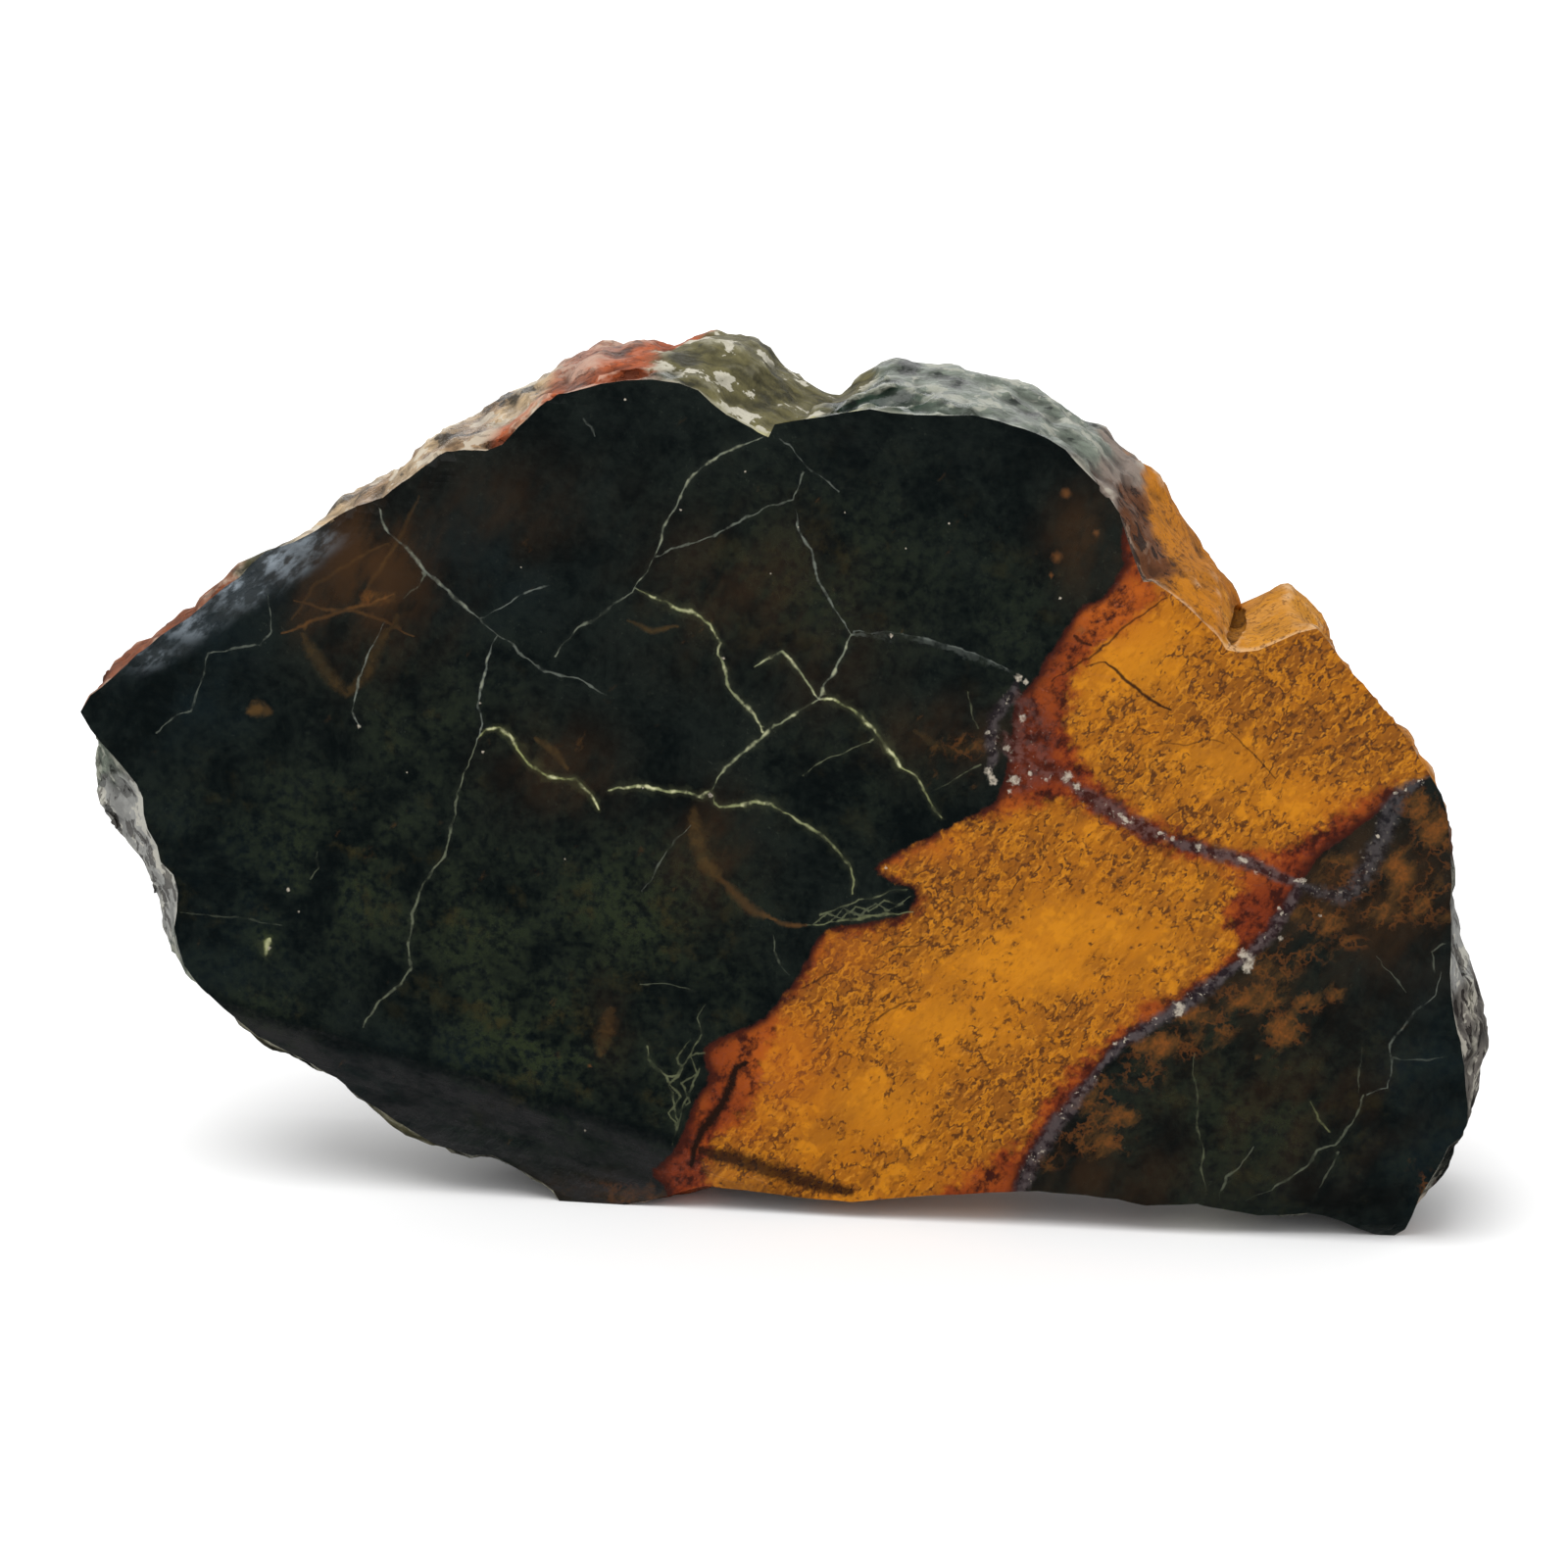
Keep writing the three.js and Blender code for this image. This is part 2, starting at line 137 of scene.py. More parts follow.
# %% [markdown]
# ## The broken edge
# Where the slab was knocked off its boulder the stone is rough: shells, ribs and grain. The solid
# has the shells. The flat faces are taken off here, the rest is cut into finer triangles, the
# facets are eased, and noise then lifts and sinks each point along its normal. The noise dies out
# at both cut edges and on the feet, so the slab still stands flat and the outline stays crisp.

# %% Roughen the broken edge
FINEST = 1.25          # mm, a longer edge is cut in two once more
EASE_ROUNDS = 2
RIB_HEIGHT = 0.34      # mm, and so are the next four
SHELL_SIZE = 4.4
SHELL_DEPTH = 0.70
GRAIN_HEIGHT = 0.08
CRISP_DEPTH = 1.3      # the roughness fades out this close to a cut edge
SMOOTH_PLACES = [(49.0, 62.3, 5.0), (41.0, 69.5, 4.6)]   # the block's top and the ochre slope: x, z, reach


def fractal(x, y, z, octaves):
    """Noise of several sizes from -1 to 1."""
    return noise.fractal(Vector((x, y, z)), 0.9, 2.1, octaves)


def roughness_at(x, y, z):
    """How far the broken surface stands out, in mm: ribs, small shells with sharp rims, and grain."""
    ribs = 0.5 - 2 * abs(fractal(x * 0.21, y * 0.09, z * 0.21, 3))
    bend = 0.35 * fractal(x * 0.3, y * 0.3, z * 0.3 + 70, 2)
    nearest = noise.voronoi(Vector((x / SHELL_SIZE + bend, y / SHELL_SIZE, z / SHELL_SIZE + bend)))[0][0]
    shells = min(1, 1.6 * nearest * nearest) - 0.5
    grain = fractal(x * 0.95, y * 0.8, z * 0.95 + 40, 2)
    worn = 1
    for px, pz, reach in SMOOTH_PLACES:
        worn = min(worn, 0.25 + (math.dist((x, z), on_part((px, pz))) / reach) ** 4)
    return worn * (RIB_HEIGHT * ribs + SHELL_DEPTH * shells + GRAIN_HEIGHT * grain)


def cut_finer(body, rounds):
    """Split every edge once, and after that only the long ones."""
    for turn in range(rounds):
        limit = 0 if turn == 0 else FINEST * MM
        long_edges = [edge for edge in body.edges if edge.calc_length() > limit]
        bmesh.ops.subdivide_edges(body, edges=long_edges, cuts=1, use_grid_fill=False)
        bmesh.ops.triangulate(body, faces=[face for face in body.faces if len(face.verts) > 3])


bmesh.ops.delete(body, geom=list(polished | sawn), context="FACES")
cut_finer(body, 2)
loose = [vert for vert in body.verts if not vert.is_boundary and vert.co.z > 0.05 * MM]
for _ in range(EASE_ROUNDS):
    bmesh.ops.smooth_vert(body, verts=loose, factor=0.5, use_axis_x=True, use_axis_y=True, use_axis_z=True)
body.normal_update()
normals = {vert: vert.normal.copy() for vert in loose}
for vert in loose:
    x, y, z = vert.co / MM
    fade = min(1, (y - FACE_Y) / CRISP_DEPTH, (BACK_Y - y) / CRISP_DEPTH, z / CRISP_DEPTH)
    vert.co += normals[vert] * roughness_at(x, y, z) * max(0, fade) * MM
body.verts.index_update()
side_points = np.clip(np.array([vert.co / MM for vert in body.verts]), LOW, HIGH)
side_faces = np.array([[vert.index for vert in face.verts] for face in body.faces])
print("broken edge", len(side_points), "points", len(side_faces), "triangles")

# %% [markdown]
# ## The two outlines
# With the flat faces gone, the broken edge is a band with two free rims. Each rim is walked from
# point to point. The polished face and the sawn back are rebuilt inside them.

# %% Walk the rims


def rim_loops(body):
    """The free rims of the band, each a list of point numbers in order."""
    follow = {}
    for edge in body.edges:
        if edge.is_boundary:
            loop = edge.link_loops[0]
            follow[loop.vert.index] = loop.link_loop_next.vert.index
    loops = []
    while follow:
        start = next(iter(follow))
        walk = [start]
        step = follow.pop(start)
        while step != start:
            walk.append(step)
            step = follow.pop(step)
        loops.append(walk)
    return sorted(loops, key=len, reverse=True)


rims = rim_loops(body)
front_rim = max(rims, key=lambda rim: (side_points[rim, 1].mean() < 0) * len(rim))
back_rim = max(rims, key=lambda rim: (side_points[rim, 1].mean() > 0) * len(rim))
body.free()
print("rims", [len(rim) for rim in rims])

# %% [markdown]
# ## The pale veins
# Long ago the stone cracked, and quartz and clay filled the cracks. On the polished face they are
# hairlines that fork and cross. Each row below is one vein: half its width in mm, how bright it is,
# how green-yellow it is (0 is grey-white), and the points that it passes through. A vein is kept as
# a line and not painted on a picture, so it stays sharp however close the camera comes.

# %% Veins across the dark stone
PALE_VEINS = [
    # the long one from the upper left, and its forks
    (0.17, 0.55, 0.15, [(-39.0, 71.6), (-38.1, 69.2), (-36.0, 67.6), (-34.2, 65.2), (-32.4, 63.8),
                        (-30.3, 61.8), (-28.8, 60.6), (-27.1, 59.1)]),
    (0.13, 0.45, 0.15, [(-27.1, 59.1), (-24.9, 57.4), (-22.5, 55.5), (-19.0, 54.9), (-16.1, 53.2)]),
    (0.10, 0.30, 0.30, [(-34.2, 65.2), (-35.0, 64.0), (-36.5, 62.5)]),
    (0.10, 0.45, 0.10, [(-28.8, 60.6), (-26.3, 62.1), (-23.8, 63.7), (-21.8, 64.2)]),
    (0.15, 0.60, 0.10, [(-27.1, 59.1), (-28.2, 56.3), (-28.8, 54.0), (-29.2, 51.8), (-28.8, 49.8),
                        (-29.3, 48.2)]),
    (0.16, 0.42, 0.45, [(-29.3, 48.2), (-30.2, 46.0), (-31.1, 43.6), (-31.9, 40.5), (-32.3, 38.0),
                        (-32.8, 36.0), (-34.3, 34.4), (-35.6, 32.0), (-36.4, 29.5), (-36.8, 26.0),
                        (-36.7, 24.0), (-38.0, 22.0), (-40.0, 20.2), (-42.0, 17.5)]),
    (0.22, 0.85, 1.00, [(-29.3, 48.2), (-28.4, 49.3), (-27.2, 49.6), (-26.0, 48.8), (-25.3, 47.4),
                        (-24.2, 46.0), (-22.6, 45.0), (-20.6, 44.3), (-19.4, 44.6), (-18.1, 43.4),
                        (-17.0, 41.6)]),
    # the one from the groove in the top edge
    (0.13, 0.60, 0.30, [(0.4, 79.9), (-2.0, 79.0), (-4.4, 77.9), (-6.5, 76.5), (-7.8, 75.2), (-9.0, 72.6),
                        (-10.3, 70.3), (-11.1, 67.5), (-12.0, 65.8), (-13.2, 64.3)]),
    (0.14, 0.50, 0.30, [(-13.2, 64.3), (-15.5, 62.2), (-18.9, 60.1), (-20.2, 58.6), (-21.4, 57.0)]),
    (0.12, 0.45, 0.20, [(-11.1, 67.3), (-9.6, 68.3), (-7.0, 69.0), (-4.2, 70.4), (-2.0, 71.6), (0.1, 72.8),
                        (2.5, 73.5), (3.5, 76.2)]),
    (0.09, 0.40, 0.10, [(1.2, 79.5), (2.5, 78.5), (4.0, 76.8), (5.5, 75.5), (7.0, 74.5)]),
    (0.20, 0.80, 0.85, [(-13.2, 64.3), (-11.2, 63.3), (-9.1, 62.4), (-7.2, 61.8), (-5.7, 60.8),
                        (-4.7, 59.1)]),
    (0.20, 0.70, 0.70, [(-4.7, 59.1), (-5.0, 57.8), (-4.2, 56.0), (-4.2, 54.9), (-2.8, 53.2), (-1.2, 51.8),
                        (-0.6, 50.0)]),
    (0.10, 0.35, 0.10, [(-18.0, 81.0), (-17.4, 80.2), (-17.0, 79.4)]),
    # the star in the middle
    (0.19, 0.80, 0.65, [(5.0, 53.7), (3.9, 55.2), (3.0, 56.8), (1.4, 58.4), (0.2, 57.8), (-1.3, 56.7)]),
    (0.17, 0.65, 0.30, [(5.0, 53.7), (6.0, 55.5), (7.2, 57.6), (8.2, 60.2)]),
    (0.22, 0.85, 0.90, [(5.0, 53.7), (7.0, 53.4), (8.6, 52.6), (9.9, 51.2), (11.2, 50.0), (12.2, 48.4),
                        (13.2, 47.1), (14.6, 46.3)]),
    (0.17, 0.60, 0.90, [(14.6, 46.3), (15.6, 44.8), (16.4, 43.2), (17.4, 41.9)]),
    (0.18, 0.70, 0.60, [(5.0, 53.7), (2.6, 51.9), (0.8, 50.8), (-0.8, 49.4), (-2.6, 47.8), (-4.2, 46.3),
                        (-5.0, 45.0), (-5.7, 43.8)]),
    (0.22, 0.85, 0.80, [(-16.2, 43.6), (-14.0, 43.9), (-12.2, 44.0), (-10.0, 43.6), (-8.2, 43.8),
                        (-6.9, 43.3), (-5.7, 43.8)]),
    (0.22, 0.75, 0.85, [(-5.7, 43.8), (-5.4, 42.6), (-4.8, 42.2), (-3.2, 42.4), (-1.5, 42.8), (0.2, 42.6),
                        (2.0, 41.7)]),
    (0.19, 0.60, 0.85, [(2.0, 41.7), (4.3, 40.4), (5.8, 39.3), (7.2, 38.2), (8.1, 36.8), (8.6, 35.3),
                        (8.4, 33.8)]),
    (0.13, 0.50, 0.10, [(8.2, 60.2), (7.2, 61.8), (6.2, 63.4), (5.2, 65.2), (4.7, 67.2), (4.0, 69.0),
                        (3.1, 70.6), (2.8, 72.6)]),
    (0.50, 0.17, 0.05, [(8.2, 60.2), (11.3, 60.3), (14.0, 60.1), (16.1, 59.7), (19.0, 59.0), (21.0, 58.4),
                        (24.2, 56.9)]),
    (0.12, 0.45, 0.05, [(8.6, 60.5), (11.5, 60.6), (14.5, 60.2), (17.5, 59.6), (21.5, 58.3), (23.6, 57.4)]),
    # thin ones and the net beside the ochre
    (0.10, 0.30, 0.60, [(3.5, 45.8), (5.5, 47.3), (8.0, 48.5), (10.0, 49.3)]),
    (0.10, 0.30, 0.60, [(17.0, 44.8), (19.0, 46.3), (21.3, 47.6)]),
    (0.10, 0.25, 0.60, [(19.8, 54.8), (20.3, 52.6), (21.0, 51.2)]),
    (0.17, 0.40, 0.80, [(3.9, 30.2), (5.6, 30.5), (8.0, 31.0), (10.5, 31.5), (12.6, 31.8), (14.6, 32.2)]),
    (0.13, 0.38, 0.70, [(5.2, 31.3), (7.2, 32.2), (9.2, 33.2), (10.8, 33.5), (12.4, 34.2), (14.0, 34.4)]),
    (0.10, 0.30, 0.40, [(0.5, 29.0), (0.6, 27.5), (1.2, 26.0), (2.2, 25.0)]),
    (0.12, 0.30, 0.20, [(-7.8, 40.2), (-9.4, 38.6), (-10.8, 36.6), (-11.6, 34.6), (-12.8, 33.0)]),
    (0.15, 0.40, 0.70, [(-12.4, 16.8), (-12.2, 15.4), (-11.3, 14.3), (-10.4, 13.7), (-9.9, 12.0),
                        (-9.8, 10.4), (-9.2, 8.8), (-9.6, 7.4)]),
    (0.16, 0.40, 0.70, [(-6.8, 18.4), (-7.6, 16.8), (-8.5, 15.2), (-9.2, 14.0), (-10.4, 13.7)]),
    (0.13, 0.32, 0.70, [(-7.0, 14.8), (-8.0, 12.6), (-8.6, 10.6), (-9.3, 8.4)]),
    (0.10, 0.30, 0.60, [(-6.4, 21.6), (-7.2, 20.0), (-6.8, 18.4)]),
    (0.11, 0.30, 0.75, [(-8.0, 17.6), (-9.4, 15.6), (-8.7, 14.6), (-10.1, 12.9), (-9.0, 11.6), (-10.3, 9.8),
                        (-9.2, 8.4), (-10.0, 6.4)]),
    (0.11, 0.26, 0.75, [(-6.6, 16.6), (-7.9, 15.9), (-7.3, 14.2), (-8.8, 13.0), (-8.0, 11.0), (-9.1, 9.9)]),
    (0.11, 0.32, 0.70, [(4.6, 30.4), (6.0, 31.6), (7.4, 31.1), (8.8, 32.5), (10.2, 31.9), (11.6, 33.3),
                        (13.0, 32.7), (14.4, 33.6)]),
    (0.10, 0.26, 0.60, [(6.2, 30.6), (7.6, 32.2), (9.4, 31.6), (10.8, 32.9), (12.2, 32.2), (13.8, 33.2)]),
    (0.09, 0.22, 0.50, [(-7.4, 22.8), (-10.0, 23.6), (-13.0, 23.4)]),
    # the left end
    (0.09, 0.35, 0.20, [(-50.5, 63.1), (-50.2, 61.0), (-50.1, 58.6), (-51.4, 57.3), (-54.0, 56.8),
                        (-56.7, 56.2), (-57.4, 53.5), (-58.6, 50.2), (-60.5, 49.6), (-62.5, 47.8)]),
    (0.10, 0.50, 0.10, [(-38.5, 60.0), (-40.0, 57.2), (-41.4, 53.6), (-42.2, 50.6), (-41.4, 49.0)]),
    (0.10, 0.12, 0.40, [(-61.0, 29.0), (-56.0, 28.7), (-50.0, 28.0)]),
    (0.30, 0.65, 0.95, [(-51.3, 26.6), (-51.5, 25.6), (-51.7, 24.8)]),
    (0.09, 0.22, 0.50, [(-46.0, 36.0), (-46.0, 34.2), (-47.0, 33.0)]),
    # the dark lower right
    (0.13, 0.35, 0.15, [(66.8, 28.0), (66.2, 25.8), (64.5, 24.2), (63.2, 22.2), (62.0, 20.5), (62.3, 18.0),
                        (61.9, 16.0), (60.0, 15.1)]),
    (0.13, 0.30, 0.40, [(59.7, 15.0), (59.0, 13.0), (58.0, 11.0), (57.0, 9.7), (55.4, 9.0), (54.5, 7.5),
                        (52.5, 6.0), (50.8, 4.6), (48.4, 3.2)]),
    (0.14, 0.40, 0.90, [(54.4, 14.2), (55.1, 12.8), (56.3, 11.0)]),
    (0.09, 0.20, 0.40, [(59.3, 20.0), (59.2, 17.8), (59.2, 15.4)]),
    (0.11, 0.25, 0.40, [(49.0, 9.2), (48.0, 7.5), (46.4, 5.7), (45.6, 3.4)]),
    (0.09, 0.22, 0.40, [(57.5, 9.0), (56.3, 6.5), (55.3, 4.4), (55.0, 2.6)]),
    (0.12, 0.25, 0.60, [(42.9, 18.6), (42.7, 16.4), (43.3, 14.0), (43.2, 11.0), (44.0, 8.6), (43.8, 6.4),
                        (44.3, 4.2)]),
    (0.09, 0.20, 0.20, [(62.4, 19.0), (64.6, 18.9), (67.6, 19.4)]),
    (0.09, 0.20, 0.30, [(60.4, 29.4), (62.2, 27.6), (63.4, 25.8)]),
    (0.10, 0.25, 0.30, [(68.0, 31.4), (66.8, 31.0), (65.8, 30.0), (66.2, 28.2)]),
]
print(len(PALE_VEINS), "pale veins")

# %% [markdown]
# ## Quartz, rust and cracks
# The ochre part is crossed by wider veins of purple-grey quartz. Iron has bled into some cracks and
# left orange and brown lines. Others are open and dark. Rows as above, and the third number is now
# how brown a rust line is, or nothing.

# %% Wider veins and lines
QUARTZ_VEINS = [
    (1.10, 0.8, 1.0, [(23.6, 50.4), (24.6, 48.6), (26.6, 47.6), (28.4, 46.9), (29.8, 46.2)]),
    (2.20, 0.5, 1.0, [(25.4, 54.0), (25.8, 51.0), (26.4, 48.4), (25.2, 45.6)]),
    (0.85, 1.0, 0.9, [(29.8, 46.2), (31.7, 44.8), (33.9, 43.3), (36.0, 42.2), (37.8, 41.4), (39.9, 40.5)]),
    (0.65, 1.0, 0.5, [(39.9, 40.5), (41.4, 39.9), (43.5, 39.6), (45.6, 39.1), (47.8, 38.5), (49.9, 37.6),
                      (52.6, 36.6)]),
    (0.60, 1.0, 0.3, [(52.6, 36.6), (52.2, 35.2), (51.3, 33.4), (50.3, 31.8), (48.8, 30.0), (47.3, 28.4)]),
    (0.66, 1.0, 0.1, [(47.3, 28.4), (45.6, 26.9), (43.5, 25.2), (41.4, 23.4), (39.3, 22.0), (37.4, 20.7),
                      (35.4, 19.1), (33.6, 16.7)]),
    (0.72, 0.9, 0.2, [(33.6, 16.7), (31.8, 14.0), (29.7, 11.2), (27.9, 8.4), (26.6, 5.8), (25.9, 3.7),
                      (25.6, 0.4)]),
    (0.85, 0.7, 0.0, [(64.6, 47.8), (63.0, 47.0), (62.0, 46.0), (61.3, 44.3), (60.7, 42.5), (60.0, 40.5),
                      (59.2, 38.4), (58.3, 36.6), (56.9, 35.5), (54.6, 35.6), (52.6, 36.6)]),
    (0.55, 0.8, 0.1, [(24.6, 56.0), (23.6, 53.9), (22.3, 52.0), (22.1, 50.2), (22.4, 48.4), (22.0, 46.6)]),
]
RUST_LINES = [
    (0.20, 0.60, 0.5, [(-49.0, 58.5), (-46.0, 59.8), (-43.0, 61.0), (-40.0, 61.7), (-37.5, 63.0)]),
    (0.75, 0.42, 1.0, [(-47.0, 58.5), (-45.5, 56.0), (-44.0, 54.0), (-42.6, 52.4)]),
    (0.65, 0.38, 1.0, [(-42.6, 52.4), (-40.4, 54.6), (-39.2, 57.4), (-37.2, 60.6)]),
    (0.18, 0.40, 0.6, [(-47.8, 62.0), (-45.0, 61.2), (-41.2, 61.0), (-37.8, 59.8), (-35.6, 58.6)]),
    (0.25, 0.35, 0.8, [(-40.6, 63.0), (-38.4, 66.0), (-36.4, 69.4), (-34.8, 73.0)]),
    (0.20, 0.30, 0.8, [(-48.0, 60.0), (-45.6, 63.4), (-41.6, 66.2), (-38.0, 68.0)]),
    (0.95, 0.55, 1.0, [(-7.4, 41.6), (-7.2, 38.6), (-6.2, 36.2), (-4.6, 34.6)]),
    (0.55, 0.65, 0.7, [(-4.6, 34.6), (-3.2, 33.2), (-1.6, 31.8), (0.2, 30.8)]),
    (0.28, 0.60, 0.6, [(0.2, 30.8), (1.6, 30.4), (3.9, 30.2)]),
    (0.90, 0.75, 0.9, [(-52.8, 50.4), (-51.7, 50.6), (-50.6, 50.3)]),
    (0.90, 0.40, 0.8, [(-16.0, 20.6), (-16.5, 18.4), (-17.4, 15.6)]),
    (0.45, 0.45, 1.0, [(-23.4, 48.6), (-21.6, 47.4), (-20.2, 45.6)]),
    (0.28, 0.50, 1.0, [(-14.0, 60.8), (-11.4, 59.8), (-9.0, 60.6)]),
    (0.45, 0.32, 1.0, [(14.6, 50.8), (17.0, 49.2), (19.6, 48.8), (21.2, 49.8)]),
    (0.25, 0.45, 0.8, [(66.9, 6.8), (65.6, 4.4), (64.9, 2.6)]),
]
DARK_LINES = [
    (0.13, 0.7, 0, [(28.0, 56.2), (29.2, 56.9), (31.0, 58.3), (32.8, 59.5), (34.2, 61.0), (36.0, 62.6),
                    (37.8, 64.0), (39.2, 65.0)]),
    (0.21, 0.9, 0, [(33.2, 58.3), (34.4, 57.4), (35.8, 56.1), (37.3, 54.9), (38.8, 54.0), (39.8, 53.6)]),
    (0.13, 0.6, 0, [(31.2, 57.6), (32.2, 58.1), (33.2, 58.3)]),
    (0.10, 0.6, 0, [(45.2, 52.0), (46.4, 50.9), (47.8, 49.6), (49.4, 48.0), (50.2, 47.2)]),
    (0.24, 0.8, 0, [(30.2, 60.7), (31.0, 60.2), (31.8, 60.0)]),
    (0.10, 0.5, 0, [(38.6, 50.4), (41.0, 50.2), (43.0, 50.9), (45.0, 50.6)]),
    (0.12, 0.5, 0, [(42.5, 39.4), (42.8, 37.6), (43.0, 36.2)]),
    (0.62, 1.0, 0, [(-2.2, 15.6), (-3.4, 14.8), (-3.8, 12.8), (-5.0, 10.6), (-6.6, 8.3), (-7.6, 6.2),
                    (-7.9, 4.2)]),
    (1.20, 0.88, 0, [(-7.0, 5.9), (-5.0, 5.5), (-3.0, 5.0), (-1.0, 4.4), (1.0, 3.9), (5.0, 2.9), (8.6, 2.2)]),
    (1.30, 0.40, 0, [(-5.0, 2.4), (-1.0, 1.6), (4.0, 0.8)]),
    (0.13, 0.6, 0, [(10.0, 20.2), (12.0, 21.4), (14.0, 22.6), (15.4, 22.9)]),
    (0.12, 0.6, 0, [(3.6, 23.6), (5.2, 24.8), (7.0, 25.4)]),
    (0.12, 0.6, 0, [(11.0, 27.0), (13.0, 28.4), (15.6, 28.6)]),
]
CRYSTALS = [
    # white grains in the quartz: x, z, radius
    (21.9, 46.9, 0.50), (22.4, 45.9, 0.46), (24.5, 46.1, 0.62), (29.7, 46.6, 0.60), (30.7, 45.6, 0.45),
    (25.2, 52.4, 0.45), (23.7, 49.3, 0.40), (24.8, 56.4, 0.45), (25.5, 55.9, 0.30), (34.9, 42.9, 0.34),
    (35.6, 42.4, 0.34), (38.9, 41.2, 0.24), (40.2, 40.7, 0.28), (42.7, 40.0, 0.36), (46.8, 38.9, 0.30),
    (47.4, 38.7, 0.30), (52.4, 36.9, 0.28), (53.2, 37.0, 0.20), (61.6, 46.1, 0.22), (62.6, 46.5, 0.22),
    (63.9, 47.4, 0.22), (48.1, 28.4, 0.62), (47.4, 29.2, 0.60), (47.8, 27.6, 0.50), (41.3, 23.5, 0.55),
    (41.2, 22.8, 0.50), (36.0, 19.8, 0.30), (34.9, 19.3, 0.26), (51.0, 30.9, 0.28), (50.8, 34.0, 0.26),
    (60.1, 41.7, 0.24), (26.0, 46.8, 0.30), (27.6, 46.2, 0.26), (24.0, 44.9, 0.26), (21.8, 50.8, 0.28),
    # grains scattered in the dark stone
    (12.2, 60.2, 0.24), (-8.6, 72.2, 0.15), (-2.2, 76.2, 0.14), (0.3, 66.1, 0.12), (3.0, 70.8, 0.12),
    (-14.0, 83.0, 0.14), (-18.9, 7.4, 0.16), (-49.2, 31.8, 0.22), (-48.2, 29.5, 0.14), (-51.4, 25.5, 0.24),
    (-41.4, 49.2, 0.24), (-28.8, 47.0, 0.18), (-29.0, 52.0, 0.16), (54.8, 33.4, 0.18), (28.7, 64.5, 0.20),
    (-12.6, 43.9, 0.18), (-5.8, 43.4, 0.28), (11.8, 36.6, 0.20), (-4.4, 57.4, 0.20), (-36.6, 44.6, 0.12),
    (7.6, 72.4, 0.12), (13.6, 69.0, 0.10), (17.8, 71.6, 0.12), (-24.6, 66.0, 0.10), (-20.6, 36.2, 0.12),
]
RUST_SPOTS = [
    (29.1, 74.9, 0.50), (32.1, 71.1, 0.35), (28.3, 68.6, 0.55), (27.8, 66.7, 0.25),
    (-18.3, 14.4, 0.25), (30.8, 61.4, 0.5), (29.1, 51.8, 0.3),
]
print(len(QUARTZ_VEINS), "quartz veins", len(CRYSTALS), "crystals")

# %% [markdown]
# ## The ochre body
# The warm part of the stone is clay stained by iron. It has two outlines: the outer one, where dark
# stone turns red, and the inner one, where red turns to ochre. Between them lies a rim of red that
# is thin in some places and wide in others. Both outlines run on past the stone's own edge, so that
# the broken edge takes the same colours. Below the dark stone's lower left runs a strip that the
# wheel ground at another slant. It is painted a little greyer as a painted sheen, and a painted
# shadow line marks its upper edge.

# %% Outlines of the warm part
WARM_OUTLINE = [
    (37.0, 86.0), (35.6, 78.0), (34.5, 70.0), (34.8, 68.1), (34.0, 66.3), (32.8, 64.7), (31.2, 64.0),
    (30.3, 63.3), (29.4, 61.6), (28.4, 59.9), (27.3, 58.5), (26.8, 57.0), (25.7, 55.6), (24.6, 54.2),
    (24.3, 52.8), (24.2, 51.0), (23.9, 49.2), (23.7, 47.4), (23.3, 45.4), (22.6, 43.8), (21.3, 42.9),
    (19.9, 42.0), (18.3, 41.1), (16.9, 40.4), (15.3, 39.5), (13.5, 38.6), (11.7, 37.4), (10.6, 36.5),
    (11.2, 35.7), (12.6, 35.0), (14.6, 34.6), (14.8, 33.6), (14.2, 32.2), (13.1, 31.5), (11.4, 31.2),
    (9.9, 30.8), (7.8, 30.5), (6.4, 30.2), (5.3, 29.3), (4.4, 27.9), (3.7, 26.1), (2.8, 24.5), (1.4, 22.7),
    (0.5, 21.5), (-0.4, 20.4), (-2.0, 19.4), (-4.0, 18.5), (-5.7, 17.6), (-6.6, 16.7), (-6.6, 15.3),
    (-5.9, 14.4), (-6.4, 12.9), (-7.3, 11.7), (-8.0, 10.1), (-8.6, 8.1), (-9.3, 6.5), (-10.4, 4.9),
    (-11.6, 3.9), (-12.5, 3.0), (-11.0, 2.0), (-9.0, -4.0), (25.4, -4.0), (25.3, 3.7), (26.0, 5.8),
    (27.4, 8.3), (29.5, 11.2), (31.7, 14.0), (33.4, 16.5), (35.2, 18.6), (37.4, 20.4), (39.5, 21.9),
    (41.3, 23.5), (43.5, 25.2), (45.6, 26.8), (47.2, 28.3), (48.8, 30.0), (50.3, 31.8), (51.3, 33.6),
    (52.2, 35.4), (52.8, 36.6), (53.8, 38.4), (54.9, 39.9), (56.5, 41.0), (57.8, 42.1), (58.8, 43.1),
    (60.2, 44.2), (61.3, 45.6), (62.7, 46.7), (64.3, 47.6), (72.0, 50.0), (80.0, 62.0), (60.0, 86.0),
]
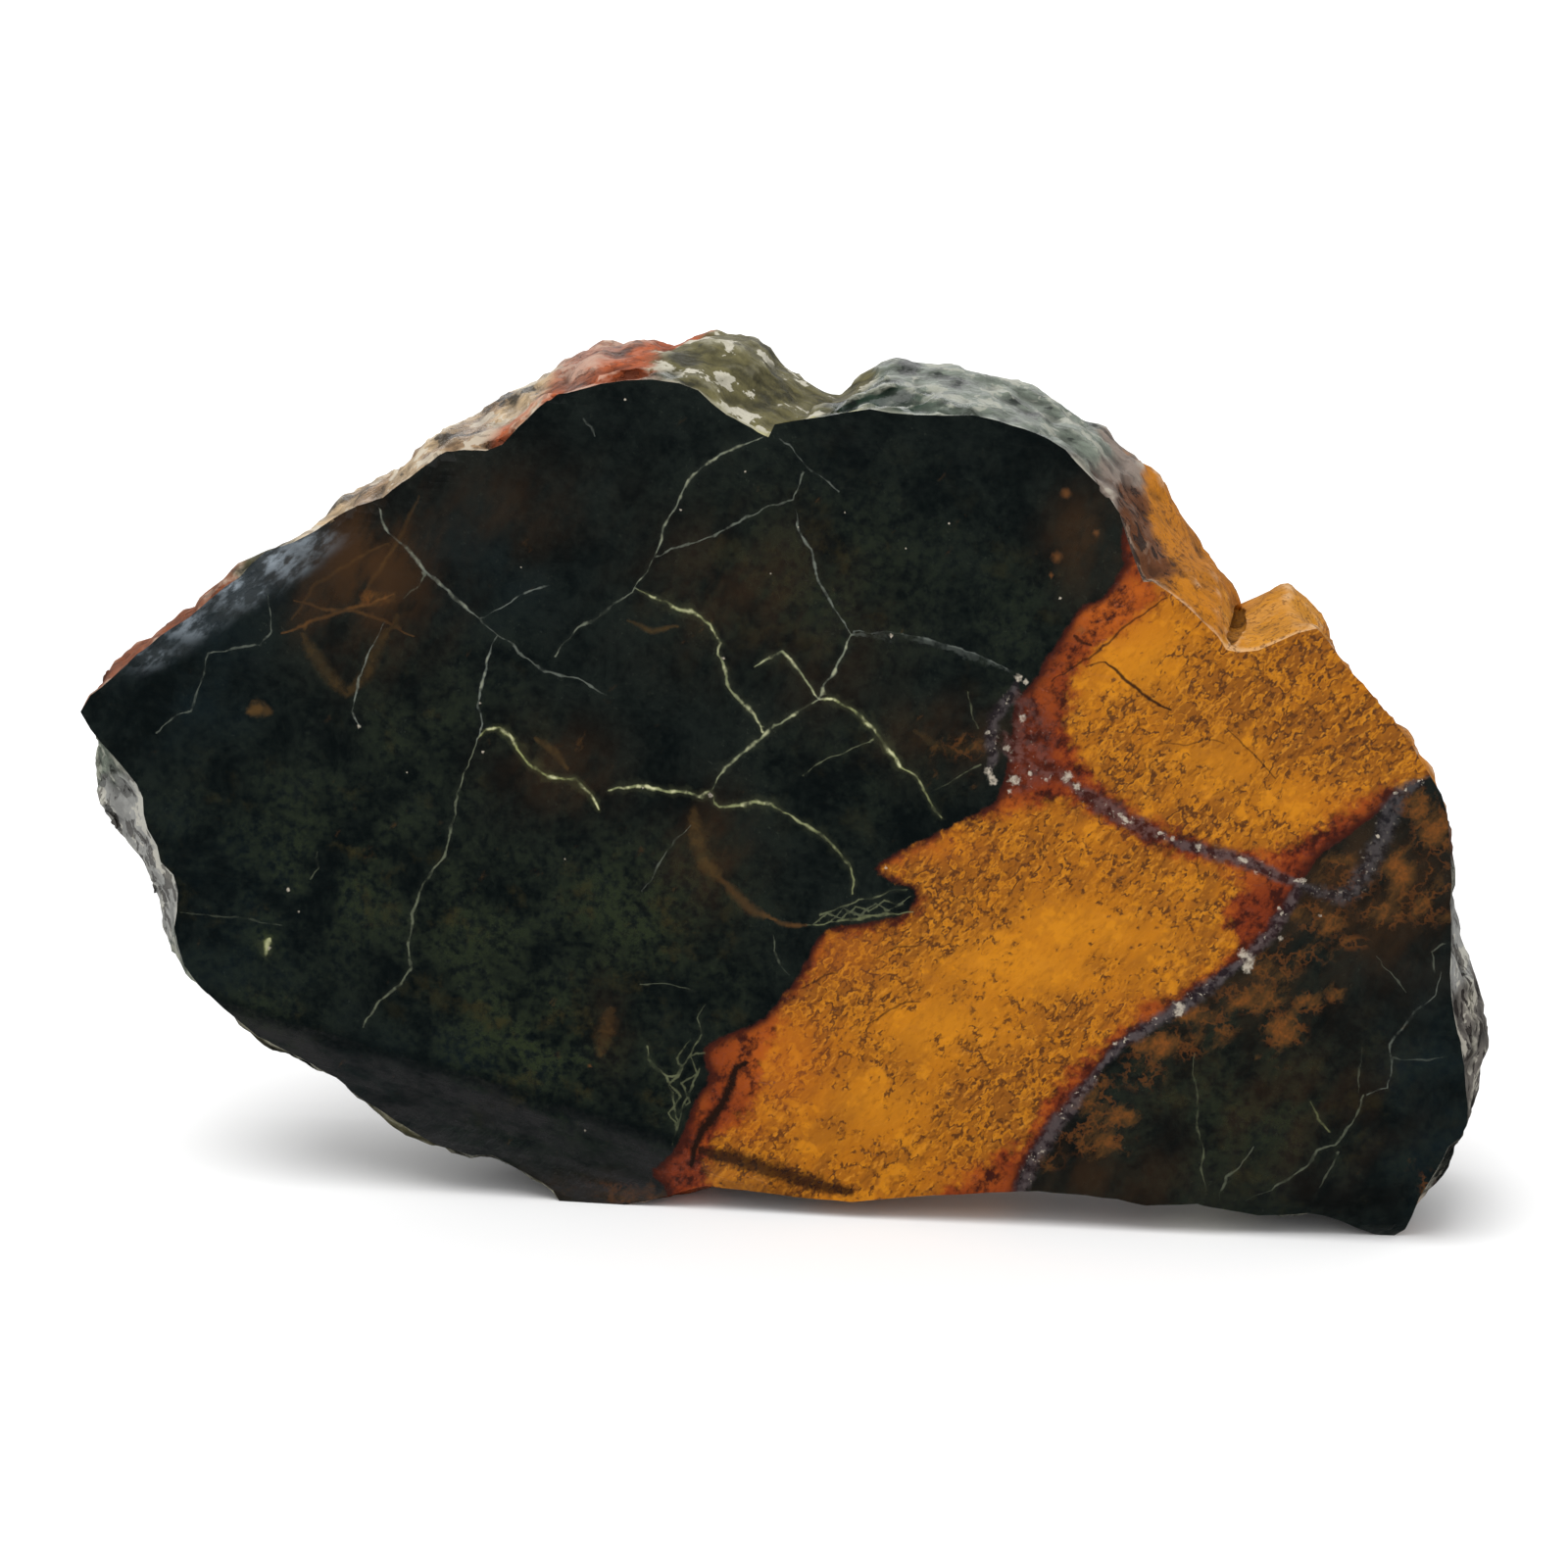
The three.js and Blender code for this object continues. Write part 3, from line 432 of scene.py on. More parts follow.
OCHRE_UPPER = [
    (41.0, 88.0), (38.8, 76.0), (37.4, 70.0), (37.2, 66.8), (39.0, 65.0), (37.6, 63.8), (36.0, 62.6),
    (34.2, 61.0), (32.8, 59.5), (31.0, 57.8), (30.0, 56.4), (30.6, 55.3), (30.1, 53.5), (30.0, 51.7),
    (30.3, 49.6), (31.7, 48.1), (33.2, 46.4), (35.0, 44.8), (37.1, 43.3), (39.2, 42.0), (41.4, 41.0),
    (43.5, 40.5), (45.6, 40.1), (48.1, 39.5), (50.3, 39.8), (51.3, 40.6), (53.1, 41.7), (54.2, 42.8),
    (56.0, 43.9), (58.1, 45.1), (59.9, 46.3), (61.3, 47.1), (63.1, 47.8), (72.0, 51.0), (80.0, 62.0),
    (60.0, 88.0),
]
OCHRE_LOWER = [
    (22.0, 42.3), (24.6, 42.6), (27.7, 43.3), (29.9, 43.8), (32.0, 42.7), (34.2, 41.4), (36.7, 40.2),
    (39.2, 39.1), (42.0, 38.6), (44.9, 38.4), (46.7, 37.2), (47.0, 36.0), (45.6, 35.6), (44.7, 34.3),
    (45.3, 32.5), (46.0, 30.7), (46.2, 29.6), (45.0, 28.3), (43.3, 26.7), (41.6, 25.3), (39.9, 24.4),
    (37.1, 23.6), (36.4, 21.8), (34.6, 20.8), (33.6, 19.7), (32.4, 18.3), (30.6, 16.5), (28.8, 14.4),
    (27.1, 11.9), (26.0, 10.1), (25.4, 8.4), (23.8, 7.2), (22.1, 6.2), (20.3, 4.7), (18.6, 3.5),
    (17.1, 2.4), (16.0, -4.0), (-4.0, -4.0), (-6.4, 1.0), (-6.2, 4.4), (-5.4, 6.2), (-4.3, 7.6),
    (-2.9, 9.0), (-1.5, 10.8), (-0.8, 12.6), (-0.8, 14.4), (0.0, 16.2), (1.0, 17.9), (1.6, 19.7),
    (1.3, 21.2), (2.4, 22.4), (3.9, 24.0), (4.9, 25.8), (5.7, 27.6), (6.8, 29.2), (8.4, 29.9), (11.4, 30.2),
    (13.7, 30.8), (15.0, 32.0), (15.5, 33.6), (15.0, 34.9), (13.6, 35.2), (12.3, 35.9), (12.0, 36.4),
    (13.3, 37.3), (15.1, 38.7), (17.3, 39.5), (19.0, 40.4), (20.8, 41.4),
]
# the ground strip, painted greyer as a painted sheen
LOWER_STRIP = [
    (-80.0, 26.0), (-60.0, 20.6), (-43.3, 16.0), (-28.0, 12.1), (-12.7, 7.8), (0.0, 4.4), (0.0, -6.0),
    (-80.0, -6.0),
]
print("warm part", len(WARM_OUTLINE), "points round")

# %% [markdown]
# ## Clouds of colour
# Some colours have no edge: brown where light enters the stone, moss green deep in it, orange
# mottles in the dark lower right, and blue that is partly a painted sheen where the polish mirrors
# pale light. The reflection haze clouds mark a painted reflection on the rolled-over edge. Each is
# a soft cloud: its middle, its two half-widths, and how strong it is. Noise breaks the clouds up
# later.

# %% Clouds
MOTTLES = [
    (39.6, 19.3, 3.6, 1.5, 0.9), (32.6, 13.6, 2.2, 3.0, 0.8), (33.0, 9.4, 3.6, 2.0, 0.75),
    (35.6, 11.6, 1.6, 1.2, 0.8), (42.8, 22.6, 3.0, 0.9, 0.85), (48.2, 24.6, 3.0, 1.4, 0.85),
    (51.6, 21.4, 1.9, 1.6, 1.0), (54.0, 24.4, 1.4, 1.1, 0.8), (56.6, 25.2, 0.9, 0.7, 0.75),
    (50.4, 28.0, 2.4, 1.9, 0.65), (54.8, 33.2, 2.4, 1.6, 0.8), (57.8, 30.8, 2.0, 0.9, 0.6),
    (61.0, 33.8, 2.2, 1.4, 0.8), (62.4, 38.0, 1.6, 2.2, 0.95), (65.6, 42.4, 2.0, 2.2, 0.85),
    (66.2, 37.8, 1.3, 2.0, 0.7), (56.6, 39.0, 1.4, 1.0, 0.6), (63.6, 45.2, 1.8, 1.4, 0.9),
    (28.6, 6.6, 2.2, 1.4, 0.45), (-13.8, 0.6, 3.0, 1.1, 0.95), (-17.6, 1.0, 2.6, 1.0, 0.5),
    (19.4, 49.2, 2.6, 1.8, 0.46), (66.2, 6.0, 1.2, 1.8, 0.5), (37.6, 16.4, 2.6, 2.2, 0.55),
    (-39.6, 62.4, 2.0, 1.2, 0.45), (45.2, 21.2, 2.0, 1.6, 0.5), (51.6, 17.6, 2.0, 1.0, 0.3),
    (57.6, 36.6, 3.0, 2.6, 0.5), (53.0, 29.6, 3.0, 2.2, 0.5), (65.0, 35.0, 2.6, 3.0, 0.5),
]
CLOUDS = {
    "brown": [
        (-40.0, 66.0, 6.0, 7.0, 1.0), (-45.5, 62.0, 3.6, 3.0, 0.8), (-26.0, 72.0, 8.0, 4.0, 0.35),
        (-3.0, 64.0, 8.0, 6.0, 0.42), (-6.0, 37.0, 3.6, 5.0, 0.6), (18.0, 50.0, 6.0, 3.0, 0.55),
        (-21.0, 45.0, 5.0, 4.0, 0.45), (31.0, 70.5, 3.4, 4.2, 0.7), (52.0, 13.0, 10.0, 7.0, 0.35),
        (33.0, 5.0, 9.0, 4.0, 0.5), (59.0, 36.0, 8.0, 7.0, 0.75), (48.0, 26.0, 8.0, 5.0, 0.6),
        (-16.0, 19.0, 1.6, 4.0, 0.4), (-20.0, 1.0, 6.0, 1.6, 0.6), (5.0, 58.0, 6.0, 6.0, 0.25),
    ],
    "moss": [
        (-46.0, 34.0, 12.0, 9.0, 0.75), (-51.4, 26.2, 1.6, 1.8, 1.0), (-24.0, 17.0, 9.0, 7.0, 1.0),
        (-14.0, 30.0, 9.0, 8.0, 0.8), (-34.0, 48.0, 9.0, 8.0, 0.45), (6.0, 66.0, 12.0, 8.0, 0.45),
        (-30.0, 28.0, 9.0, 9.0, 0.7), (24.0, 62.0, 5.0, 8.0, 0.35), (10.0, 46.0, 8.0, 6.0, 0.3),
        (50.0, 13.0, 12.0, 9.0, 0.55), (-11.0, 12.0, 3.0, 4.0, 0.6), (-52.0, 18.0, 5.0, 3.0, 0.6),
        (-5.0, 24.0, 4.0, 5.0, 0.5),
    ],
    # blue, partly a painted sheen where the polish mirrors pale light
    "blue_and_sheen": [
        (-60.0, 58.0, 6.0, 4.0, 1.0), (-52.0, 64.0, 6.0, 3.0, 1.0), (-56.0, 30.0, 9.0, 8.0, 0.7),
        (66.0, 14.0, 6.0, 12.0, 0.9), (-60.0, 52.0, 7.0, 6.0, 0.7), (-30.0, 66.0, 9.0, 6.0, 0.4),
        (60.0, 4.0, 9.0, 4.0, 0.5), (-36.0, 12.0, 12.0, 5.0, 0.5),
    ],
}
GRADES = {
    "gold": [
        (25.0, 27.0, 7.0, 3.0, 0.9), (18.0, 20.0, 6.0, 3.4, 0.8), (11.0, 12.0, 5.0, 3.0, 0.65),
        (31.0, 31.0, 6.0, 2.6, 0.8), (37.0, 59.0, 3.6, 3.6, 0.8), (44.0, 48.0, 5.0, 2.6, 0.6),
        (50.0, 45.0, 4.0, 2.4, 0.4), (39.0, 30.0, 3.0, 5.0, 0.4), (5.0, 8.0, 4.0, 2.0, 0.3),
        (14.0, 5.0, 5.0, 1.8, 0.2),
    ],
    "crowded": [
        (50.0, 57.0, 6.0, 4.0, 1.0), (44.0, 56.0, 4.0, 3.0, 0.9), (59.0, 52.0, 5.0, 5.0, 0.8),
        (16.0, 34.0, 6.0, 4.0, 0.9), (15.0, 29.0, 6.0, 2.6, 0.9), (8.0, 24.0, 5.0, 3.0, 0.7),
        (24.0, 15.0, 5.0, 5.0, 0.8), (23.0, 38.0, 5.0, 3.0, 0.7), (36.0, 47.0, 5.0, 2.6, 0.6),
        (0.0, 7.0, 3.0, 1.4, 0.9), (18.0, 9.0, 4.0, 2.4, 0.7), (30.0, 23.0, 4.0, 2.0, 0.5),
        (51.0, 49.0, 5.0, 4.0, 0.4), (42.0, 42.0, 4.0, 1.6, 0.6),
    ],
    "orange": [
        (33.4, 63.0, 3.6, 2.6, 1.0), (36.4, 65.4, 2.0, 1.2, 1.0), (27.6, 54.8, 1.4, 2.6, 0.3),
        (30.0, 58.0, 1.6, 1.2, 0.4), (16.0, 38.8, 4.0, 1.4, 0.7), (1.2, 15.8, 4.2, 5.0, 0.95),
        (-6.8, 11.4, 0.8, 2.2, 0.4), (7.0, 27.6, 3.6, 2.6, 0.6), (-2.0, 8.4, 2.0, 1.4, 0.7),
        (38.4, 22.6, 3.0, 1.2, 0.6), (48.0, 37.4, 1.8, 1.0, 0.6), (21.0, 4.4, 3.0, 1.4, 0.7),
        (58.0, 44.6, 3.0, 1.4, 0.5), (24.4, 43.4, 1.4, 0.9, 0.8),
    ],
    # where the rolled-over edge gets a painted blue-grey reflection
    "reflection_haze": [
        (-54.4, 63.2, 4.0, 1.8, 1.0), (-50.6, 66.2, 3.0, 1.6, 1.0), (-59.4, 59.2, 3.6, 1.4, 0.8),
        (-46.8, 68.2, 2.4, 1.4, 0.8), (-48.0, 65.4, 2.4, 1.8, 0.6), (-63.0, 55.6, 3.0, 1.0, 0.6),
    ],
    "gleam": [
        (-60.0, 58.4, 5.0, 3.0, 1.0), (-54.0, 62.6, 5.0, 3.6, 1.0), (-49.0, 66.0, 3.6, 3.0, 0.9),
        (-66.0, 53.6, 3.0, 2.0, 0.5), (-46.0, 14.0, 12.0, 4.0, 1.0), (-30.0, 8.0, 12.0, 4.0, 1.0),
        (-16.0, 3.0, 9.0, 4.0, 1.0), (56.0, 3.0, 9.0, 3.0, 1.0),
    ],
}
print(len(MOTTLES), "mottles", {name: len(rows) for name, rows in CLOUDS.items()})

# %% [markdown]
# ## The crust
# Round the broken edge the stone is weathered, and the crust has a different colour in each
# stretch: rusty at the left tip, cream and pink on the upper left, olive at the top, grey-green on
# the right hump, ochre on the slope and the block, and chalky pale with dark pits where the two
# ends swell out. A row gives a place, how far its colour reaches, and the colour's name.

# %% Crust zones
CRUST_FINISHES = {
    # colour, then how chalky, how glossy and how pitted it is, from 0 to 1
    "rust": (0.380, 0.080, 0.020, 0.10, 0.3, 0.35),
    "cream": (0.470, 0.340, 0.200, 0.70, 0.8, 0.15),
    "pink": (0.360, 0.150, 0.090, 0.30, 0.6, 0.30),
    "tan": (0.290, 0.185, 0.100, 0.60, 0.8, 0.30),
    "olive": (0.130, 0.115, 0.045, 0.90, 0.5, 0.00),
    "grey": (0.158, 0.184, 0.147, 0.40, 0.75, 0.10),
    "green": (0.012, 0.030, 0.018, 0.00, 1.0, 0.00),
    "mauve": (0.210, 0.165, 0.135, 0.00, 0.5, 0.00),
    "straw": (0.400, 0.370, 0.090, 0.30, 0.3, 0.00),
    "umber": (0.120, 0.040, 0.012, 0.05, 0.15, 0.90),
    "russet": (0.210, 0.060, 0.022, 0.05, 0.2, 0.40),
    "moss": (0.060, 0.055, 0.022, 0.10, 0.5, 0.30),
    "ochre": (0.430, 0.150, 0.003, 0.00, 0.1, 0.20),
    "sand": (0.500, 0.205, 0.012, 0.05, 0.0, 0.10),
    "chalk": (0.270, 0.270, 0.255, 0.50, 0.2, 0.70),
    "ash": (0.135, 0.120, 0.104, 0.50, 0.4, 1.00),
    "dark": (0.016, 0.018, 0.015, 0.20, 0.9, 0.20),
}
CRUST_ZONES = [
    # x, z, how far behind the face (or -1 for all the way through), reach, colour
    (-69.0, 51.0, -1, 4.0, "russet"), (-63.0, 56.5, -1, 4.0, "russet"), (-57.0, 61.5, -1, 3.5, "russet"),
    (-52.0, 66.0, -1, 3.5, "moss"), (-47.0, 70.0, -1, 3.0, "cream"), (-41.0, 73.5, -1, 3.5, "tan"),
    (-36.0, 76.5, -1, 3.5, "cream"), (-31.0, 78.5, -1, 3.5, "tan"), (-25.0, 81.5, -1, 3.5, "cream"),
    (-19.0, 85.5, -1, 3.5, "pink"), (-13.5, 86.5, -1, 3.0, "rust"), (-7.5, 86.5, -1, 3.5, "olive"),
    (-3.0, 84.0, -1, 3.5, "olive"), (1.5, 81.5, -1, 2.0, "olive"), (6.0, 82.0, -1, 2.0, "green"),
    (12.0, 84.5, 15.0, 4.5, "grey"), (18.0, 84.0, -1, 4.0, "grey"), (24.0, 82.5, -1, 4.5, "grey"),
    (30.0, 79.5, -1, 3.5, "grey"), (33.8, 76.6, -1, 2.4, "mauve"), (37.0, 73.0, 16.0, 3.0, "ochre"),
    (41.5, 69.0, 18.0, 4.5, "ochre"), (44.0, 64.0, 15.0, 4.0, "ochre"), (48.5, 62.5, -1, 3.0, "sand"),
    (53.0, 62.0, -1, 2.5, "sand"), (57.5, 56.5, -1, 4.0, "ochre"), (61.0, 51.5, -1, 4.0, "ochre"),
    (64.4, 46.5, 9.0, 3.0, "umber"), (66.4, 42.0, 7.0, 3.0, "umber"), (67.6, 36.5, 3.0, 3.0, "dark"),
    (68.5, 30.0, -1, 4.0, "chalk"), (70.0, 22.0, -1, 4.5, "ash"), (70.8, 15.0, -1, 4.0, "ash"),
    (69.0, 8.0, -1, 4.0, "dark"), (64.5, 1.0, 3.0, 3.0, "umber"), (56.0, 1.0, -1, 5.0, "dark"),
    (46.0, 2.0, -1, 5.0, "olive"), (35.0, 2.5, -1, 5.0, "umber"), (26.0, 3.0, -1, 3.5, "umber"),
    (18.0, 2.0, -1, 5.0, "ochre"), (8.0, 1.0, -1, 5.0, "ochre"), (0.0, 1.5, -1, 4.5, "umber"),
    (-8.0, 1.5, -1, 4.0, "rust"), (-15.0, -0.5, -1, 4.0, "umber"), (-22.0, 0.0, -1, 4.0, "moss"),
    (-30.0, 4.0, -1, 5.0, "dark"), (-38.0, 7.0, -1, 5.0, "moss"), (-46.0, 11.5, -1, 5.0, "dark"),
    (-54.0, 16.5, -1, 5.0, "moss"), (-60.5, 21.5, -1, 4.0, "grey"), (-64.0, 27.0, -1, 4.0, "chalk"),
    (-66.0, 33.0, -1, 4.0, "chalk"), (-69.0, 39.0, -1, 4.0, "chalk"), (-69.8, 44.0, -1, 3.0, "grey"),
    # the lip just behind the polished edge
    (-33.0, 76.4, 1.0, 2.4, "tan"), (-28.0, 78.0, 1.4, 2.8, "rust"), (-25.2, 79.8, 1.8, 3.2, "rust"),
    (-22.4, 82.2, 2.2, 3.6, "rust"), (-17.0, 84.6, 3.0, 3.8, "rust"), (-12.0, 85.6, 2.5, 3.0, "rust"),
    (-11.0, 85.2, 0.6, 1.4, "dark"), (-9.4, 84.6, 2.0, 2.6, "green"), (3.0, 81.4, 0.5, 2.4, "straw"),
    (6.4, 82.0, 0.2, 2.4, "straw"), (0.8, 80.4, 1.0, 1.8, "straw"), (6.8, 82.8, 4.0, 2.8, "green"),
    (9.4, 83.4, 3.0, 3.6, "green"), (13.2, 84.2, 3.6, 4.0, "green"), (17.2, 83.8, 3.0, 3.6, "green"),
    (21.4, 83.2, 1.4, 2.8, "green"), (26.0, 81.2, 0.8, 2.4, "green"), (30.4, 78.6, 0.8, 2.0, "mauve"),
    (35.4, 72.0, 2.0, 3.2, "umber"), (36.4, 71.4, 6.5, 3.0, "umber"), (37.4, 68.4, 2.5, 2.6, "umber"),
    (38.0, 68.6, 5.5, 2.2, "umber"), (39.8, 68.0, 11.0, 2.8, "ochre"), (40.4, 65.2, 1.5, 2.4, "ochre"),
    (43.2, 62.6, 1.5, 2.4, "ochre"), (41.0, 66.0, 6.0, 2.6, "ochre"),
]
print(len(CRUST_ZONES), "stretches of crust")

# %% [markdown]
# ## Lines ready for the mesh
# A drawn row of points is too smooth for a crack. Each line is cut into short steps, and noise
# nudges every step sideways. The nudge depends only on the place, so forks stay joined. A line is
# also thinner at its ends. The lines are then kept as short segments with a width and a tone.

# %% Segments
STEP = 0.55             # mm
NUDGE = 0.22            # mm


def nudged(point, reach=NUDGE):
    """A point moved a little by noise that depends on nothing but the place."""
    x, z = point
    shift_x = fractal(x * 0.75, 3.1, z * 0.75, 3)
    shift_z = fractal(x * 0.75, 9.7, z * 0.75, 3)
    return x + reach * shift_x, z + reach * shift_z


def stepped(points, step):
    """The same line with points at even short steps."""
    path = [points[0]]
    for start, end in zip(points, points[1:]):
        pieces = max(1, round(math.dist(start, end) / step))
        path += [(start[0] + (end[0] - start[0]) * k / pieces, start[1] + (end[1] - start[1]) * k / pieces)
                 for k in range(1, pieces + 1)]
    return path


def segments(rows, reach=NUDGE):
    """Every row as short segments: two ends (x, z), and half-width, tone and hue at each end."""
    parts = []
    for half_width, tone, hue, points in rows:
        path = stepped(points, STEP)
        count = len(path)
        taper = [0.45 + 0.55 * min(1, 4 * i / count, 4 * (count - 1 - i) / count) for i in range(count)]
        placed = [on_part(nudged(point, reach)) for point in path]
        for i in range(count - 1):
            widths = half_width * taper[i], half_width * taper[i + 1]
            parts.append([*placed[i], *placed[i + 1], *widths, tone, hue])
    return np.array(parts)


pale = segments(PALE_VEINS)
quartz = segments(QUARTZ_VEINS)
rust = segments(RUST_LINES)
cracks = segments(DARK_LINES)
crystals = np.array([(*on_part(row[:2]), row[2]) for row in CRYSTALS])
rust_spots = np.array([(*on_part(row[:2]), row[2]) for row in RUST_SPOTS])
print("segments", len(pale), len(quartz), len(rust), len(cracks))

# %% [markdown]
# ## How the pattern goes through the stone
# A vein is a sheet that cuts through the slab at a slant, so on the back it comes out somewhere
# else. One smooth shift field stands for all of that: nothing on the polished face, and a few
# millimetres by the time it has reached the sawn back.

# %% The slant through the slab
SLANT = (3.2, -2.2)     # mm
BEND = 3.4              # mm


def shift_at(points):
    """How far the pattern has moved by the time it reaches the back, at points (x, z) of the part."""
    bends = [[fractal(x * 0.035, layer, z * 0.035, 2) for layer in (5.5, 15.5)] for x, z in points]
    return np.array(SLANT) + BEND * np.array(bends)


def moved_to_back(parts):
    """Segments as they lie on the sawn back."""
    moved = parts.copy()
    moved[:, 0:2] += shift_at(parts[:, 0:2])
    moved[:, 2:4] += shift_at(parts[:, 2:4])
    return moved


print("shift at the middle", shift_at([(0, 40)]).round(1))

# %% [markdown]
# ## The polished face and the sawn back
# Each is a sheet of triangles inside its rim. Delaunay triangulation with fixed edges is the tool
# for that: it must use the rim's edges and every vein's segments, and it fills the rest evenly. A
# vein that lies on edges of the mesh stays hair-thin with large triangles beside it. The face's
# points are then dropped onto the solid, which puts them on the ground bevels, and the hinges of
# those bevels are eased as a polishing wheel does.

# %% Measure against a rim
BLOCK = 1500            # so many points are measured at a time


def inside(points, rim):
    """Which points (x, z) lie inside a closed rim."""
    x, z = points[:, 0], points[:, 1]
    hits = np.zeros(len(points), bool)
    for (x0, z0), (x1, z1) in zip(rim, np.roll(rim, -1, 0)):
        if z0 != z1:
            crosses = (z0 > z) != (z1 > z)
            hits ^= crosses & (x < (x1 - x0) * (z - z0) / (z1 - z0) + x0)
    return hits


def gap_to(points, starts, ends):
    """Distance from each point to the nearest segment, which segment, and how far along it."""
    best = np.full(len(points), np.inf)
    which = np.zeros(len(points), int)
    along = np.zeros(len(points))
    reach = ends - starts
    length2 = np.maximum((reach ** 2).sum(1), 1e-12)
    for first in range(0, len(points), BLOCK):
        part_of = slice(first, first + BLOCK)
        some = points[part_of]
        away = some[:, None, :] - starts[None]
        part = np.clip((away * reach[None]).sum(2) / length2, 0, 1)
        gap = np.linalg.norm(away - part[..., None] * reach[None], axis=2)
        pick = gap.argmin(1)
        rows = np.arange(len(some))
        best[part_of] = gap[rows, pick]
        which[part_of] = pick
        along[part_of] = part[rows, pick]
    return best, which, along


print("distances are measured", BLOCK, "points at a time")

# %% Fill a rim
CLEARANCE = 0.32        # mm, lines end this far from the rim
INSIDE_ONLY = 1         # the triangulation leaves out what lies outside the rim
SAME_POINT = 1e-4       # mm


def triangulated(points, edges):
    """Delaunay triangles that keep the given edges: points, triangles and where each point came from."""
    corners = [Vector(point) for point in points]
    out, _, triangles, sources, _, _ = delaunay_2d_cdt(corners, edges, [], INSIDE_ONLY, SAME_POINT)
    return np.array([tuple(p) for p in out]), np.array(triangles), sources


def edge_pairs(triangles):
    """The two point numbers of each edge of each triangle."""
    return np.concatenate([triangles[:, [0, 1]], triangles[:, [1, 2]], triangles[:, [2, 0]]])


def webs(points, triangles, lines):
    """Middles of edges that bridge two lines. A point there keeps a fork from filling in like a web."""
    on_line = gap_to(points, lines[:, :2], lines[:, 2:])[0] < 0.02
    pairs = edge_pairs(triangles)
    pairs = np.unique(np.sort(pairs[on_line[pairs].all(1)], 1), axis=0)
    middles = points[pairs].mean(1)
    return middles[gap_to(middles, lines[:, :2], lines[:, 2:])[0] > 0.07]


def filled_sheet(rim, lines, spots, spacing):
    """Points (x, z) and triangles inside a rim, with the lines as edges. The rim's points come first."""
    starts, ends = rim, np.roll(rim, -1, 0)
    kept = []
    for parts in lines:
        middle_ok = [inside(parts[:, k:k + 2], rim) & (gap_to(parts[:, k:k + 2], starts, ends)[0] > CLEARANCE)
                     for k in (0, 2)]
        kept.append(parts[middle_ok[0] & middle_ok[1], :4])
    kept = np.concatenate(kept)
    line_points = kept.reshape(-1, 2)
    rows = np.arange(LOW[2], HIGH[2], spacing * math.sqrt(3) / 2)
    grid = np.array([(x + (i % 2) * spacing / 2, z) for i, z in enumerate(rows)
                     for x in np.arange(LOW[0], HIGH[0], spacing)])
    grid = grid[inside(grid, rim)]
    far = gap_to(grid, starts, ends)[0] > 0.45 * spacing
    grid = grid[far]
    grid = grid[gap_to(grid, kept[:, :2], kept[:, 2:])[0] > 0.4 * spacing]
    spots = spots[inside(spots, rim)]
    spots = spots[gap_to(spots, starts, ends)[0] > CLEARANCE]
    points = np.concatenate([rim, line_points, spots, grid])
    count = len(rim)
    edges = [(i, (i + 1) % count) for i in range(count)]
    edges += [(count + 2 * k, count + 2 * k + 1) for k in range(len(kept))]
    out, triangles, _ = triangulated(points, edges)
    points = np.concatenate([points, webs(out, triangles, kept)])
    out, triangles, sources = triangulated(points, edges)
    rim_of = np.full(len(out), -1)
    for i, source in enumerate(sources):
        on_rim = [s for s in source if s < count]
        if on_rim:
            rim_of[i] = on_rim[0]
    return out, triangles, rim_of


print("lines end", CLEARANCE, "mm from the rim")

# %% Lay the face on the solid
IN_FRONT = 20           # mm before the face, where the measuring lines start


def dropped_on(points, fallback):
    """Where a line straight into the polished face meets the solid, for points (x, z)."""
    depths = []
    for x, z in points:
        start = Vector((x * MM, (FACE_Y - IN_FRONT) * MM, z * MM))
        hit = solid_tree.ray_cast(start, Vector((0, 1, 0)))[0]
        depths.append(hit.y / MM if hit else fallback)
    return np.array(depths)


def eased(values, triangles, fixed, rounds):
    """Each free value moved towards the mean of its neighbours, a few times over."""
    pairs = edge_pairs(triangles)
    pairs = np.concatenate([pairs, pairs[:, ::-1]])
    count = np.bincount(pairs[:, 0], minlength=len(values))
    for _ in range(rounds):
        mean = np.bincount(pairs[:, 0], values[pairs[:, 1]], len(values)) / np.maximum(count, 1)
        values = np.where(fixed, values, mean)
    return values


print("measuring lines start", IN_FRONT, "mm before the face")

# %% Build both sheets
FACE_SPACING = 0.78
BACK_SPACING = 1.15
HINGE_EASE = 5

front_lines = [pale, quartz, rust, cracks]
back_lines = [moved_to_back(parts) for parts in front_lines]
back_crystals = crystals.copy()
back_crystals[:, :2] += shift_at(crystals[:, :2])
back_rust_spots = rust_spots.copy()
back_rust_spots[:, :2] += shift_at(rust_spots[:, :2])

rim = side_points[front_rim][:, [0, 2]]
face_points, face_triangles, face_rim = filled_sheet(
    rim, front_lines, np.concatenate([crystals[:, :2], rust_spots[:, :2]]), FACE_SPACING)
depths = dropped_on(face_points, FACE_Y)
depths[face_rim >= 0] = side_points[front_rim][face_rim[face_rim >= 0], 1]
depths = np.clip(eased(depths, face_triangles, face_rim >= 0, HINGE_EASE), FACE_Y, None)

rim = side_points[back_rim][:, [0, 2]]
back_points, back_triangles, back_rim_of = filled_sheet(rim, back_lines, back_crystals[:, :2], BACK_SPACING)
print("face", len(face_points), "points", len(face_triangles), "triangles; back", len(back_points),
      len(back_triangles))

# %% [markdown]
# ## One skin
# The band, the face and the back share their rims' points, so the three become one closed skin.

# %% Join the three


